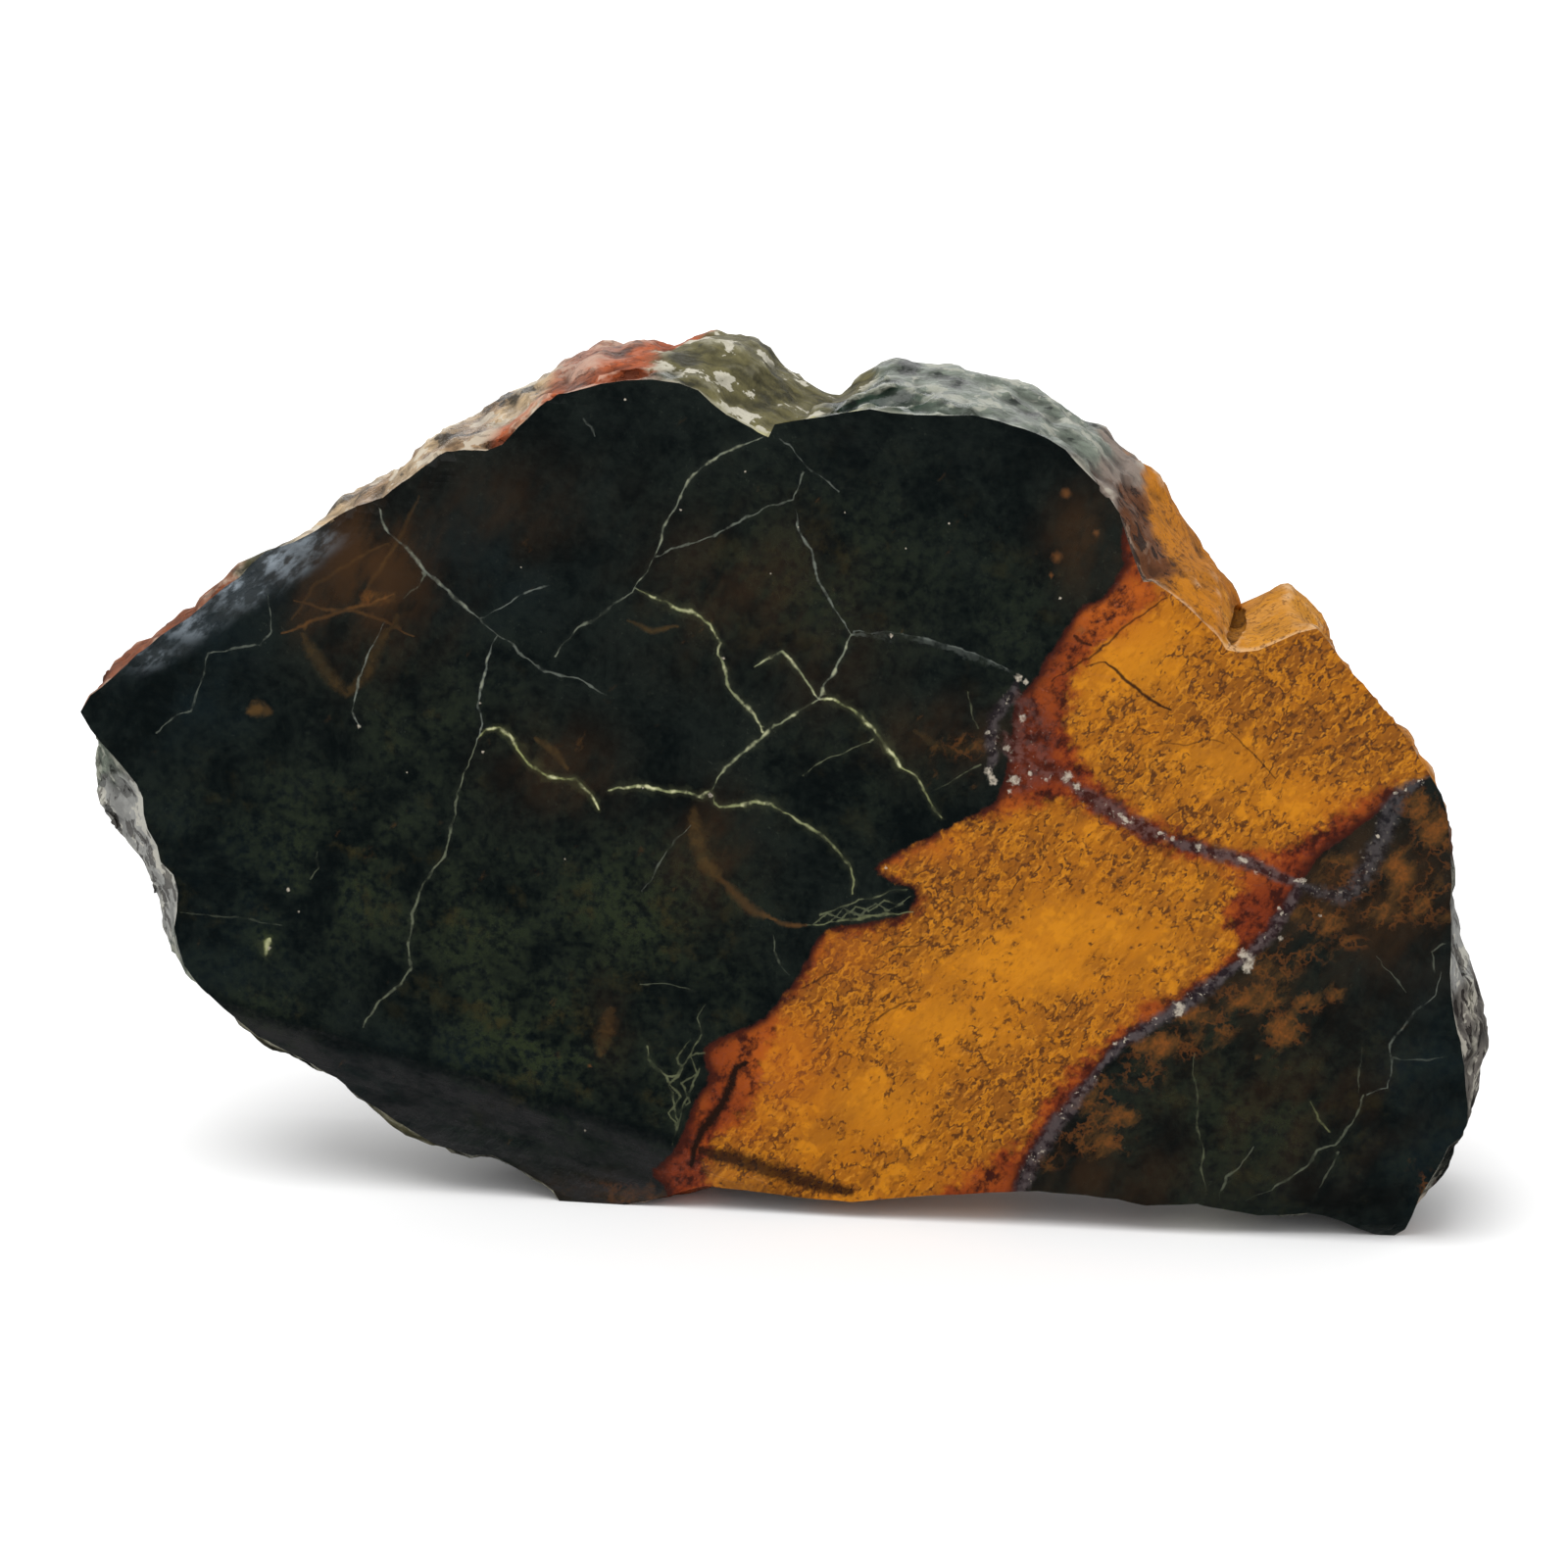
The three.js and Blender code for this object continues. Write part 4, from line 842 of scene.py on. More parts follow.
def joined():
    """Points, triangles and the kind of each triangle: 0 polished, 1 sawn, 2 broken."""
    points = [side_points]
    used = len(side_points)
    faces = [side_faces]
    kinds = [np.full(len(side_faces), 2)]
    sheets = [
        (face_points, face_triangles, face_rim, front_rim, depths, 0),
        (back_points, back_triangles, back_rim_of, back_rim, np.full(len(back_points), BACK_Y), 1),
    ]
    for flat, triangles, rim_of, rim_numbers, y, kind in sheets:
        fresh = rim_of < 0
        number = np.zeros(len(flat), int)
        number[~fresh] = np.array(rim_numbers)[rim_of[~fresh]]
        number[fresh] = used + np.arange(fresh.sum())
        used += fresh.sum()
        points.append(np.column_stack([flat[fresh, 0], y[fresh], flat[fresh, 1]]))
        corners = number[triangles]
        faces.append(corners if kind == 0 else corners[:, ::-1])
        kinds.append(np.full(len(triangles), kind))
    return np.concatenate(points), np.concatenate(faces), np.concatenate(kinds)


points, triangles, kinds = joined()
points = np.clip(points, LOW, HIGH)
skin = bpy.data.meshes.new("agate_slab_skin")
skin.from_pydata((points * MM).tolist(), [], triangles.tolist())
skin.update()
slab = bpy.data.objects.new("polished_stone", skin)
bpy.context.scene.collection.objects.link(slab)
print("skin", len(points), "points", len(triangles), "triangles")

# %% [markdown]
# ## Measure the pattern at every point
# The material needs to know, at each point, how far the nearest vein is, how deep inside the ochre
# it lies and so on. These are plain numbers on the mesh, called attributes. A distance changes
# evenly from point to point, so it can be interpolated without loss, which a colour cannot.

# %% Distances in the pattern
FAR = 9.0               # a ratio as large as this means nowhere near


def pattern_place(points):
    """Where each point lies in the pattern: straight through from the face, less the slant."""
    flat = points[:, [0, 2]]
    part = (points[:, 1] - FACE_Y) / THICKNESS
    return flat - shift_at(flat) * part[:, None]


def line_values(place, parts):
    """For each point: distance over half-width to the nearest line, and that line's tone and hue."""
    gap, which, along = gap_to(place, parts[:, :2], parts[:, 2:4])
    width = parts[which, 4] * (1 - along) + parts[which, 5] * along
    return np.column_stack([np.minimum(gap / width, FAR), parts[which, 6], parts[which, 7]])


def spot_values(place, spots):
    """Distance to the nearest spot over its radius."""
    ratio = np.full(len(place), FAR)
    for x, z, radius in spots:
        ratio = np.minimum(ratio, np.hypot(place[:, 0] - x, place[:, 1] - z) / radius)
    return ratio


def depth_inside(place, outline):
    """Distance to an outline in mm, above zero inside it."""
    rim = on_part(outline)
    gap = gap_to(place, rim, np.roll(rim, -1, 0))[0]
    return np.where(inside(place, rim), gap, -gap)


def cloud_values(place, rows):
    """How deep each point lies in a set of soft clouds."""
    total = np.zeros(len(place))
    for x, z, half_x, half_z, strength in rows:
        x, z = on_part((x, z))
        spread = ((place[:, 0] - x) / half_x) ** 2 + ((place[:, 1] - z) / half_z) ** 2
        total = np.maximum(total, strength * np.exp(-0.7 * spread))
    return total


print("no line is counted beyond", FAR, "half-widths")

# %% [markdown]
# ## Colours along the broken edge
# A point of the crust takes the finish of the nearest stretch in the rows above. Left like that,
# the borders would be straight cuts. Noise of three sizes bends them, and the largest grows with
# the depth, so that the stretches don't run over the thickness like stripes. The crust is also
# painted paler where it stands out, partly as wear and partly as a painted highlight, and darker in
# its hollows as painted shade; the last function here measures how far a point stands out.

# %% Crust at a point
SWAY = 2.6              # mm, how far the border of a stretch swings
RAGGED_EDGE = 1.2       # mm, the finer raggedness of the same border
DRIFT = 14.0            # mm, how far a stretch may wander on its way to the back
DRIFT_ENDS = 30.0       # x from which the crust rows themselves say what lies at the back
DRIFT_FADE = 10         # mm, the way over which the wandering stops there
FIRMNESS = 5.5          # how firmly the nearest stretch wins over the next one


def noise_pair(points, scale, shift, layers, octaves):
    """Two noise values at each point, read at two places far apart."""
    return np.array([[fractal(x + layer, y, z, octaves) for layer in layers]
                     for x, y, z in points * scale + shift])


def crust_values(points):
    """The crust's colour and finish at each point, mostly from the nearest stretch."""
    sway = noise_pair(points, 0.16, 0, (0, 31), 3)
    ragged = noise_pair(points, 0.7, (0, 0, 50), (0, 31), 2)
    wander = noise_pair(points, (0.07, 0.05, 0.07), 0, (60, 90), 2)
    depth_share = (points[:, 1] - FACE_Y) / THICKNESS
    drift = depth_share * np.clip((DRIFT_ENDS - points[:, 0]) / DRIFT_FADE, 0, 1)
    flat = points[:, [0, 2]] + SWAY * sway + RAGGED_EDGE * ragged + DRIFT * drift[:, None] * wander
    behind = points[:, 1] - FACE_Y + SWAY * sway[:, 0] + RAGGED_EDGE / 2 * ragged[:, 1]
    gaps = []
    for x, z, depth, reach, _ in CRUST_ZONES:
        x, z = on_part((x, z))
        gap = np.hypot(flat[:, 0] - x, flat[:, 1] - z)
        gaps.append((gap if depth < 0 else np.hypot(gap, behind - depth)) / reach)
    gaps = np.array(gaps)
    weight = np.exp(-FIRMNESS * (gaps - gaps.min(0)))
    finishes = np.array([CRUST_FINISHES[zone[-1]] for zone in CRUST_ZONES])
    return weight.T @ finishes / weight.sum(0)[:, None]


def ridge_values(points, triangles, normals):
    """How far each point stands out from its neighbours: 0 in a hollow, 0.5 on the flat, 1 on a ridge."""
    pairs = edge_pairs(triangles)
    pairs = np.concatenate([pairs, pairs[:, ::-1]])
    count = np.maximum(np.bincount(pairs[:, 0], minlength=len(points)), 1)

    def mean_round(values):
        return np.bincount(pairs[:, 0], values[pairs[:, 1]], len(points)) / count

    middle = np.column_stack([mean_round(points[:, axis]) for axis in range(3)])
    length = np.linalg.norm(points[pairs[:, 0]] - points[pairs[:, 1]], axis=1)
    step = np.bincount(pairs[:, 0], length, len(points)) / count
    out = ((points - middle) * normals).sum(1) / step
    for _ in range(2):
        out = 0.5 * out + 0.5 * mean_round(out)
    return np.clip(0.5 + 2.2 * out, 0, 1)


print("a stretch of crust wanders by up to", DRIFT, "mm")

# %% Write the attributes


def add_vectors(mesh, name, values):
    """Three numbers on every point of the mesh."""
    attribute = mesh.attributes.new(name, "FLOAT_VECTOR", "POINT")
    attribute.data.foreach_set("vector", values.astype(np.float32).ravel())


place = pattern_place(points)
on_back = np.zeros(len(points), bool)
on_back[triangles[kinds == 1].ravel()] = True
for name, parts, back_parts in zip(("pale", "quartz", "rust", "crack"), front_lines, back_lines):
    values = line_values(place, parts)
    values[on_back] = line_values(points[on_back][:, [0, 2]], back_parts)
    add_vectors(skin, name, values)
ochre_depth = np.maximum(depth_inside(place, OCHRE_UPPER), depth_inside(place, OCHRE_LOWER))
warmth = depth_inside(place, WARM_OUTLINE), ochre_depth, cloud_values(place, MOTTLES)
add_vectors(skin, "warmth", np.column_stack(warmth))
clouds = {name: cloud_values(place, rows) for name, rows in {**CLOUDS, **GRADES}.items()}
ridges = ridge_values(points, triangles, np.array([vertex.normal for vertex in skin.vertices]))
add_vectors(skin, "clouds", np.column_stack([clouds["brown"], clouds["moss"], clouds["blue_and_sheen"]]))
add_vectors(skin, "grades", np.column_stack([clouds["gold"], clouds["crowded"], clouds["orange"]]))
# the share of the painted reflection, where the rolled-over edge keeps its slant, and how far a point stands
# out
add_vectors(skin, "reflection_gleam_ridge", np.column_stack([clouds["reflection_haze"], clouds["gleam"], ridges]))
grains = spot_values(place, crystals)
grains[on_back] = spot_values(points[on_back][:, [0, 2]], back_crystals)
dots = spot_values(place, rust_spots)
add_vectors(skin, "spots", np.column_stack([grains, dots, points[:, 1] - FACE_Y]))
crust = crust_values(points)
add_vectors(skin, "crust", crust[:, :3])
add_vectors(skin, "weathering", crust[:, 3:])
add_vectors(skin, "strip", np.repeat(depth_inside(place, LOWER_STRIP)[:, None], 3, 1))
print("attributes", [attribute.name for attribute in skin.attributes])

# %% [markdown]
# ## A flat map of the skin
# Whoever bakes the colours into one picture needs the skin laid out flat without overlaps. The face
# and the back lie side by side, and the band round the edge is unrolled into two strips below them.
# Its length is read from the angle round a point inside the slab from which the whole rim is seen.

# %% Lay the skin flat
SHEET_WIDTH = 296.0     # mm, the sheet that the skin is laid out on
SHEET_HEIGHT = 154.0
MARGIN = 2
FACES_FROM = 62         # the face and the back start this high on the sheet
BACK_FROM = 149         # and the back starts this far to the right
STRIPS = 2
STRIP_PITCH = 29
CENTRE = on_part((10.0, 30.0))


def unrolled_length(points, rim):
    """How far round the rim each point lies, in mm, and the rim's length."""
    turn = np.unwrap(np.arctan2(rim[:, 1] - CENTRE[1], rim[:, 0] - CENTRE[0]))
    if turn[-1] < turn[0]:
        rim, turn = rim[::-1], turn[::-1]
    length = np.concatenate([[0], np.cumsum(np.linalg.norm(np.diff(rim, axis=0), axis=1))])
    turn = np.maximum.accumulate(turn)
    total = length[-1] + np.linalg.norm(rim[0] - rim[-1])
    angle = np.arctan2(points[:, 2] - CENTRE[1], points[:, 0] - CENTRE[0])
    angle = turn[0] + (angle - turn[0]) % (2 * math.pi)
    return np.interp(angle, np.append(turn, turn[0] + 2 * math.pi), np.append(length, total)), total


def flat_map(points, triangles, kinds):
    """A place on the sheet for each corner of each triangle."""
    corners = points[triangles]
    uv = np.zeros((len(triangles), 3, 2))
    face, back, side = kinds == 0, kinds == 1, kinds == 2
    uv[face] = corners[face][:, :, [0, 2]] - LOW[[0, 2]] + (MARGIN, FACES_FROM)
    mirrored = corners[back][:, :, [0, 2]] * (-1, 1) + (HIGH[0], -LOW[2])
    uv[back] = mirrored + (BACK_FROM, FACES_FROM)
    length, total = unrolled_length(points, points[front_rim][:, [0, 2]])
    along = length[triangles[side]]
    along += np.where(along.max(1, keepdims=True) - along > total / 2, total, 0)
    strip = np.minimum(along.min(1) // (total / STRIPS), STRIPS - 1)
    uv[side, :, 0] = along - strip[:, None] * total / STRIPS + MARGIN
    uv[side, :, 1] = corners[side][:, :, 1] - FACE_Y + strip[:, None] * STRIP_PITCH + MARGIN
    return uv / (SHEET_WIDTH, SHEET_HEIGHT)


uv_map = skin.uv_layers.new(name="OFBake")
uv = flat_map(points, triangles, kinds)
uv_map.data.foreach_set("uv", uv.astype(np.float32).ravel())
print("flat map", uv.min(), uv.max())

# %% [markdown]
# ## Node helpers
# A material is a graph of small nodes. These few helpers let the graph be written as sums.

# %% Helpers for materials


class Graph:
    """Builds a material's nodes. Values and sockets can be mixed freely in every call."""

    def __init__(self, name):
        self.material = bpy.data.materials.new(name)
        self.material.use_nodes = True
        self.tree = self.material.node_tree
        self.shader = self.tree.nodes["Principled BSDF"]

    def put(self, socket, value):
        """Set a socket to a number or a colour, or link it to another socket."""
        if isinstance(value, bpy.types.NodeSocket):
            self.tree.links.new(value, socket)
        elif isinstance(value, tuple) and socket.type == "RGBA":
            socket.default_value = (*value, 1)
        else:
            socket.default_value = value

    def math(self, operation, a, b=0.0, clamp=False):
        """One sum, named as the node names it."""
        node = self.tree.nodes.new("ShaderNodeMath")
        node.operation = operation
        node.use_clamp = clamp
        self.put(node.inputs[0], a)
        self.put(node.inputs[1], b)
        return node.outputs[0]

    def add(self, a, b):
        return self.math("ADD", a, b)

    def times(self, a, b):
        return self.math("MULTIPLY", a, b)

    def swing(self, noise, reach):
        """Noise that swings to both sides of zero."""
        return self.times(self.math("SUBTRACT", noise, 0.5), reach)

    def smooth(self, value, start, end, low=0.0, high=1.0):
        """Goes smoothly from low to high while value goes from start to end."""
        node = self.tree.nodes.new("ShaderNodeMapRange")
        node.interpolation_type = "SMOOTHSTEP"
        for socket, given in zip(node.inputs, (value, start, end, low, high)):
            self.put(socket, given)
        return node.outputs[0]

    def mix(self, share, a, b):
        """Colour a where share is 0 and colour b where it is 1."""
        node = self.tree.nodes.new("ShaderNodeMix")
        node.data_type = "RGBA"
        self.put(node.inputs[0], share)
        self.put(node.inputs[6], a)
        self.put(node.inputs[7], b)
        return node.outputs[2]

    def numbers(self, name):
        """The three numbers that the mesh carries under this name."""
        read = self.tree.nodes.new("ShaderNodeAttribute")
        read.attribute_name = name
        split = self.tree.nodes.new("ShaderNodeSeparateXYZ")
        self.tree.links.new(read.outputs["Vector"], split.inputs[0])
        return split.outputs

    def colour_of(self, name):
        """The colour that the mesh carries under this name."""
        read = self.tree.nodes.new("ShaderNodeAttribute")
        read.attribute_name = name
        return read.outputs["Color"]

    def place(self, stretch=(1, 1, 1), turn=0.0, shift=(0, 0, 0)):
        """The place in the stone in mm, shifted, stretched and turned in the plane of the face."""
        here = self.tree.nodes.new("ShaderNodeTexCoord")
        move = self.tree.nodes.new("ShaderNodeMapping")
        move.vector_type = "TEXTURE"
        self.tree.links.new(here.outputs["Object"], move.inputs["Vector"])
        move.inputs["Location"].default_value = tuple(MM * s for s in shift)
        move.inputs["Rotation"].default_value = (0, turn, 0)
        move.inputs["Scale"].default_value = tuple(MM * s for s in stretch)
        return move.outputs[0]

    def noise(self, where, size, detail=2.0, rough=0.55, offset=0.0):
        """Cloudy noise from 0 to 1 with lumps of a size in mm."""
        node = self.tree.nodes.new("ShaderNodeTexNoise")
        node.noise_dimensions = "4D"
        self.tree.links.new(where, node.inputs["Vector"])
        node.inputs["W"].default_value = offset
        node.inputs["Scale"].default_value = 1 / size
        node.inputs["Detail"].default_value = detail
        node.inputs["Roughness"].default_value = rough
        return node.outputs["Fac"]

    def bump(self, height, depth_mm):
        """A normal that tilts as a surface of this height would."""
        node = self.tree.nodes.new("ShaderNodeBump")
        node.inputs["Distance"].default_value = depth_mm * MM
        node.inputs["Strength"].default_value = 1.0
        self.put(node.inputs["Height"], height)
        return node.outputs[0]


print("helpers ready")

# %% [markdown]
# ## The dark stone
# Nearly black, with moss green, brown and blue clouds so faint that they show only in good light.
# The blue is partly a painted sheen, where the polish would mirror pale light.
# Fine specks keep it from looking like plastic.

# %% Dark body
DARK = (0.0081, 0.0118, 0.0102)
DARK_DEEP = (0.0018, 0.0038, 0.0040)
DARK_PALE = (0.0300, 0.0370, 0.0270)
MOSS = (0.0210, 0.0290, 0.0120)
OLIVE = (0.0370, 0.0310, 0.0100)
BROWN = (0.044, 0.021, 0.0080)
# blue tint, partly a painted sheen
BLUE_AND_SHEEN = (0.0036, 0.0105, 0.0150)


def dark_stone(g, where):
    """The dark body's colour, and the fine noise that frays its edges too."""
    brown, moss, blue_and_sheen = g.numbers("clouds")
    broad = g.noise(where, 7.0, 4, 0.6)
    fine = g.noise(where, 0.9, 3, 0.65, 3.0)
    dust = g.noise(where, 0.3, 2, 0.7, 71.0)
    colour = g.mix(g.smooth(g.add(g.times(broad, 0.6), g.times(fine, 0.4)), 0.36, 0.64), DARK_DEEP, DARK)
    dusty = g.times(g.smooth(dust, 0.6, 0.74), g.smooth(broad, 0.4, 0.66, 0.1, 0.55))
    colour = g.mix(dusty, colour, DARK_PALE)
    # blue clouds, partly a painted sheen
    colour = g.mix(g.times(blue_and_sheen, g.smooth(broad, 0.3, 0.75)), colour, BLUE_AND_SHEEN)
    mossy = g.times(g.times(moss, g.smooth(broad, 0.36, 0.60)), g.smooth(fine, 0.36, 0.62))
    colour = g.mix(mossy, colour, MOSS)
    patchy = g.noise(where, 4.0, 5, 0.65, 6.0)
    colour = g.mix(g.times(moss, g.smooth(patchy, 0.54, 0.68, 0.0, 0.8)), colour, OLIVE)
    veil = g.noise(g.place((1, 1, 2.2), 0.5), 3.2, 4, 0.6, 4.0)
    colour = g.mix(g.times(brown, g.smooth(veil, 0.34, 0.66, 0.12, 0.95)), colour, BROWN)
    return colour, fine


print("dark body", DARK)

# %% [markdown]
# ## The ochre stone
# Clay-rich and golden, with brown squiggles like worm tracks, darker patches and a few smooth
# bright streaks. The squiggles also get painted shade on one side and a painted highlight on the
# other, as if they stood out and were lit from one side. Towards the dark stone it turns orange and
# then deep red.

# %% Ochre body
OCHRE = (0.380, 0.125, 0.0048)
GOLD = (0.560, 0.206, 0.0055)
TAN = (0.215, 0.070, 0.0075)
SPECK = (0.075, 0.023, 0.0040)
ORANGE = (0.400, 0.088, 0.0065)
RED = (0.170, 0.026, 0.0060)
MAROON = (0.040, 0.0085, 0.0050)
BEDDING = math.radians(-50)     # the ochre's streaks climb to the right
# painted shade and painted highlight on the two sides of each squiggle, as an emboss
STROKE_PAINTED_SHADE = (0.140, 0.042, 0.0050)
STROKE_PAINTED_HIGHLIGHT = (0.600, 0.240, 0.0160)
EMBOSS_SHIFT = (0.14, 0, -0.14)     # mm


def ochre_stone(g, where, fine):
    """The warm body's colour, and where its dull squiggles are."""
    warm_depth, ochre_depth, _ = g.numbers("warmth")
    gold, crowded, orange = g.numbers("grades")
    streaked = g.noise(g.place((3.0, 1, 1), BEDDING), 2.2, 4, 0.6, 8.0)
    patches = g.noise(where, 2.6, 3, 0.6, 9.0)
    gravel = g.noise(g.place((1.8, 1, 1), BEDDING), 0.42, 3, 0.65, 5.0)
    track = g.noise(g.place((1.6, 1, 1), BEDDING), 0.85, 2, 0.55, 11.0)
    broken = g.noise(where, 0.9, 2, 0.55, 17.0)
    crowd = g.add(g.add(g.times(crowded, 0.22), g.times(gold, -0.28)), g.noise(where, 3.4, 3, 0.55, 14.0))
    colour = g.mix(g.smooth(g.add(streaked, g.times(crowded, 0.14)), 0.43, 0.66, 0.0, 0.85), OCHRE, TAN)
    colour = g.mix(g.smooth(patches, 0.53, 0.62, 0.0, 0.7), colour, GOLD)
    colour = g.mix(g.times(gold, g.smooth(gravel, 0.3, 0.55, 0.6, 0.95)), colour, GOLD)
    colour = g.mix(g.smooth(crowd, 0.42, 0.62, 0.0, 0.45), colour, TAN)
    # painted emboss: painted shade on one side of a squiggle, a painted highlight on the other
    strokes = g.noise(g.place((1.8, 1, 1), BEDDING), 0.75, 2, 0.55, 13.0)
    shifted = g.noise(g.place((1.8, 1, 1), BEDDING, EMBOSS_SHIFT), 0.75, 2, 0.55, 13.0)
    painted_emboss = g.math("SUBTRACT", strokes, shifted)
    rough = g.smooth(crowd, 0.32, 0.60, 0.25, 1.0)
    colour = g.mix(g.times(g.smooth(painted_emboss, -0.04, -0.12, 0.0, 0.75), rough), colour, STROKE_PAINTED_SHADE)
    colour = g.mix(g.times(g.smooth(painted_emboss, 0.04, 0.12, 0.0, 0.55), rough), colour, STROKE_PAINTED_HIGHLIGHT)
    here = g.smooth(g.math("SUBTRACT", g.add(broken, g.times(crowd, 0.8)), 0.86), -0.06, 0.10)
    short = g.smooth(g.noise(where, 0.7, 2, 0.5, 12.0), 0.44, 0.54)
    dark_side = g.smooth(g.math("ABSOLUTE", g.math("SUBTRACT", track, 0.49)), 0.065, 0.015)
    # a painted highlight line beside each dark track
    painted_highlight_side = g.smooth(g.math("ABSOLUTE", g.math("SUBTRACT", track, 0.58)), 0.050, 0.012)
    spotted = g.times(g.times(dark_side, short), here)
    colour = g.mix(g.times(g.times(painted_highlight_side, here), 0.5), colour, GOLD)
    colour = g.mix(g.times(spotted, 0.85), colour, SPECK)
    colour = g.mix(g.times(g.times(dark_side, here), 0.14), colour, SPECK)
    wobble = g.add(g.swing(patches, 4.2), g.swing(fine, 3.0))
    to_ochre = g.smooth(g.add(ochre_depth, wobble), -1.0, 0.7)
    blood = g.add(g.times(g.noise(where, 1.5, 4, 0.65, 19.0), 0.7), g.times(gravel, 0.3))
    depth = g.add(warm_depth, g.swing(fine, 1.6))
    red = g.mix(g.smooth(depth, 0.1, 1.5), MAROON, g.mix(g.smooth(blood, 0.40, 0.54), MAROON, RED))
    bled = g.times(g.smooth(blood, 0.50, 0.62, 0.0, 0.75), g.smooth(ochre_depth, -3.0, 0.0))
    bled = g.math("MAXIMUM", bled, g.times(orange, g.smooth(blood, 0.36, 0.56)))
    red = g.mix(g.times(bled, g.smooth(warm_depth, 0.1, 0.9)), red, ORANGE)
    colour = g.mix(g.times(orange, 0.45), colour, ORANGE)
    return g.mix(to_ochre, red, colour), warm_depth, spotted


print("ochre body", OCHRE)

# %% [markdown]
# ## Veins over both
# Now the lines go over the two bodies, each from its own distance attribute: first mottles, then
# rust, cracks, quartz, pale veins and white grains. Fine noise frays every edge and dims some
# stretches of a vein, because no real vein is equally bright all along.

# %% Whole pattern
QUARTZ = (0.112, 0.052, 0.044)
QUARTZ_GREY = (0.068, 0.060, 0.063)
RUST = (0.175, 0.066, 0.0170)
RUST_BROWN = (0.085, 0.048, 0.0140)
CRACK = (0.016, 0.0065, 0.0040)
VEIN_GREY = (0.190, 0.215, 0.200)
VEIN_GREEN = (0.270, 0.290, 0.115)
VEIN_CORE = (0.560, 0.550, 0.330)
GRAIN = (0.500, 0.440, 0.350)
MOTTLE = (0.190, 0.060, 0.0100)
MOTTLE_BROWN = (0.072, 0.034, 0.0100)
QUARTZ_DARK = (0.014, 0.012, 0.016)


def vein_mask(g, ratio, tone, fray, soft=0.45):
    """1 on a line and 0 off it, with frayed edges."""
    return g.times(g.smooth(g.add(ratio, g.swing(fray, 1.2)), 0.8 + soft, 0.8 - soft), tone)


def stone_pattern(g):
    """The colour of the stone's inside anywhere, and masks that the finish needs."""
    where = g.place()
    dark, fine = dark_stone(g, where)
    warm, warm_depth, spotted = ochre_stone(g, where, fine)
    tiny = g.noise(where, 0.42, 2, 0.6, 21.0)
    fade = g.smooth(g.noise(where, 1.6, 3, 0.65, 25.0), 0.38, 0.60, 0.08, 1.0)
    mottle = g.numbers("warmth")[2]
    curds = g.add(mottle, g.swing(g.noise(g.place((1.9, 1, 1), BEDDING), 1.7, 5, 0.66, 27.0), 2.4))
    thread = g.math("ABSOLUTE", g.math("SUBTRACT", g.noise(where, 2.2, 4, 0.6, 33.0), 0.5))
    threads = g.times(g.smooth(thread, 0.05, 0.005), g.smooth(mottle, 0.2, 0.5, 0.0, 0.35))
    colour = g.mix(g.smooth(curds, 0.34, 0.80, 0.0, 0.9), dark, MOTTLE_BROWN)
    colour = g.mix(threads, colour, MOTTLE)
    colour = g.mix(g.times(g.smooth(curds, 0.66, 1.10), g.smooth(tiny, 0.3, 0.65, 0.3, 0.95)), colour, MOTTLE)
    edge = g.add(warm_depth, g.swing(fine, 0.9))
    is_warm = g.smooth(edge, -0.14, 0.16)
    colour = g.mix(is_warm, colour, warm)

    ratio, tone, hue = g.numbers("rust")
    steady = g.math("MAXIMUM", fade, 0.6)
    on_rust = g.times(vein_mask(g, ratio, tone, tiny, 0.8), steady)
    colour = g.mix(on_rust, colour, g.mix(hue, RUST, RUST_BROWN))
    ratio, tone, _ = g.numbers("crack")
    colour = g.mix(vein_mask(g, ratio, tone, tiny, 0.5), colour, CRACK)
    ratio, tone, hue = g.numbers("quartz")
    swell = g.noise(where, 2.4, 3, 0.6, 29.0)
    shreds = g.noise(where, 0.8, 3, 0.65, 35.0)
    frayed = g.add(g.swing(swell, 1.6), g.swing(shreds, 1.5))
    in_quartz = g.times(g.smooth(g.add(ratio, frayed), 1.7, 0.3), tone)
    flecks = g.smooth(g.noise(where, 0.42, 1.5, 0.6, 30.0), 0.60, 0.70)
    clear = g.smooth(g.noise(where, 0.8, 3, 0.6, 31.0), 0.40, 0.60)
    quartz_colour = g.mix(clear, g.mix(hue, QUARTZ_DARK, MAROON), g.mix(hue, QUARTZ_GREY, QUARTZ))
    quartz_colour = g.mix(g.times(flecks, g.smooth(swell, 0.42, 0.6, 0.1, 0.8)), quartz_colour, GRAIN)
    colour = g.mix(g.times(in_quartz, 0.95), colour, quartz_colour)
    ratio, tone, hue = g.numbers("pale")
    vein_colour = g.mix(hue, VEIN_GREY, VEIN_GREEN)
    knots = g.smooth(g.noise(where, 1.3, 2, 0.5, 36.0), 0.36, 0.64, 1.7, 0.7)
    ratio = g.times(ratio, knots)
    halo = g.times(g.times(g.smooth(ratio, 5.0, 0.5), tone), g.times(hue, 0.07))
    colour = g.mix(halo, colour, vein_colour)
    on_vein = g.times(vein_mask(g, ratio, tone, tiny, 0.5), fade)
    colour = g.mix(on_vein, colour, vein_colour)
    core = g.times(g.smooth(ratio, 0.8, 0.2), g.smooth(knots, 1.25, 0.75))
    colour = g.mix(g.times(g.times(core, g.smooth(tone, 0.45, 0.95)), fade), colour, VEIN_CORE)
    grain, dot, _ = g.numbers("spots")
    sparkle = g.swing(g.noise(where, 0.3, 2, 0.6, 37.0), 1.8)
    colour = g.mix(vein_mask(g, dot, 0.55, tiny, 0.8), colour, RUST)
    on_grain = g.times(g.smooth(g.add(grain, sparkle), 1.2, 0.5), g.smooth(tiny, 0.35, 0.6, 0.3, 0.8))
    colour = g.mix(on_grain, colour, GRAIN)
    return colour, is_warm, spotted, fine, tiny


print("pattern layers ready")
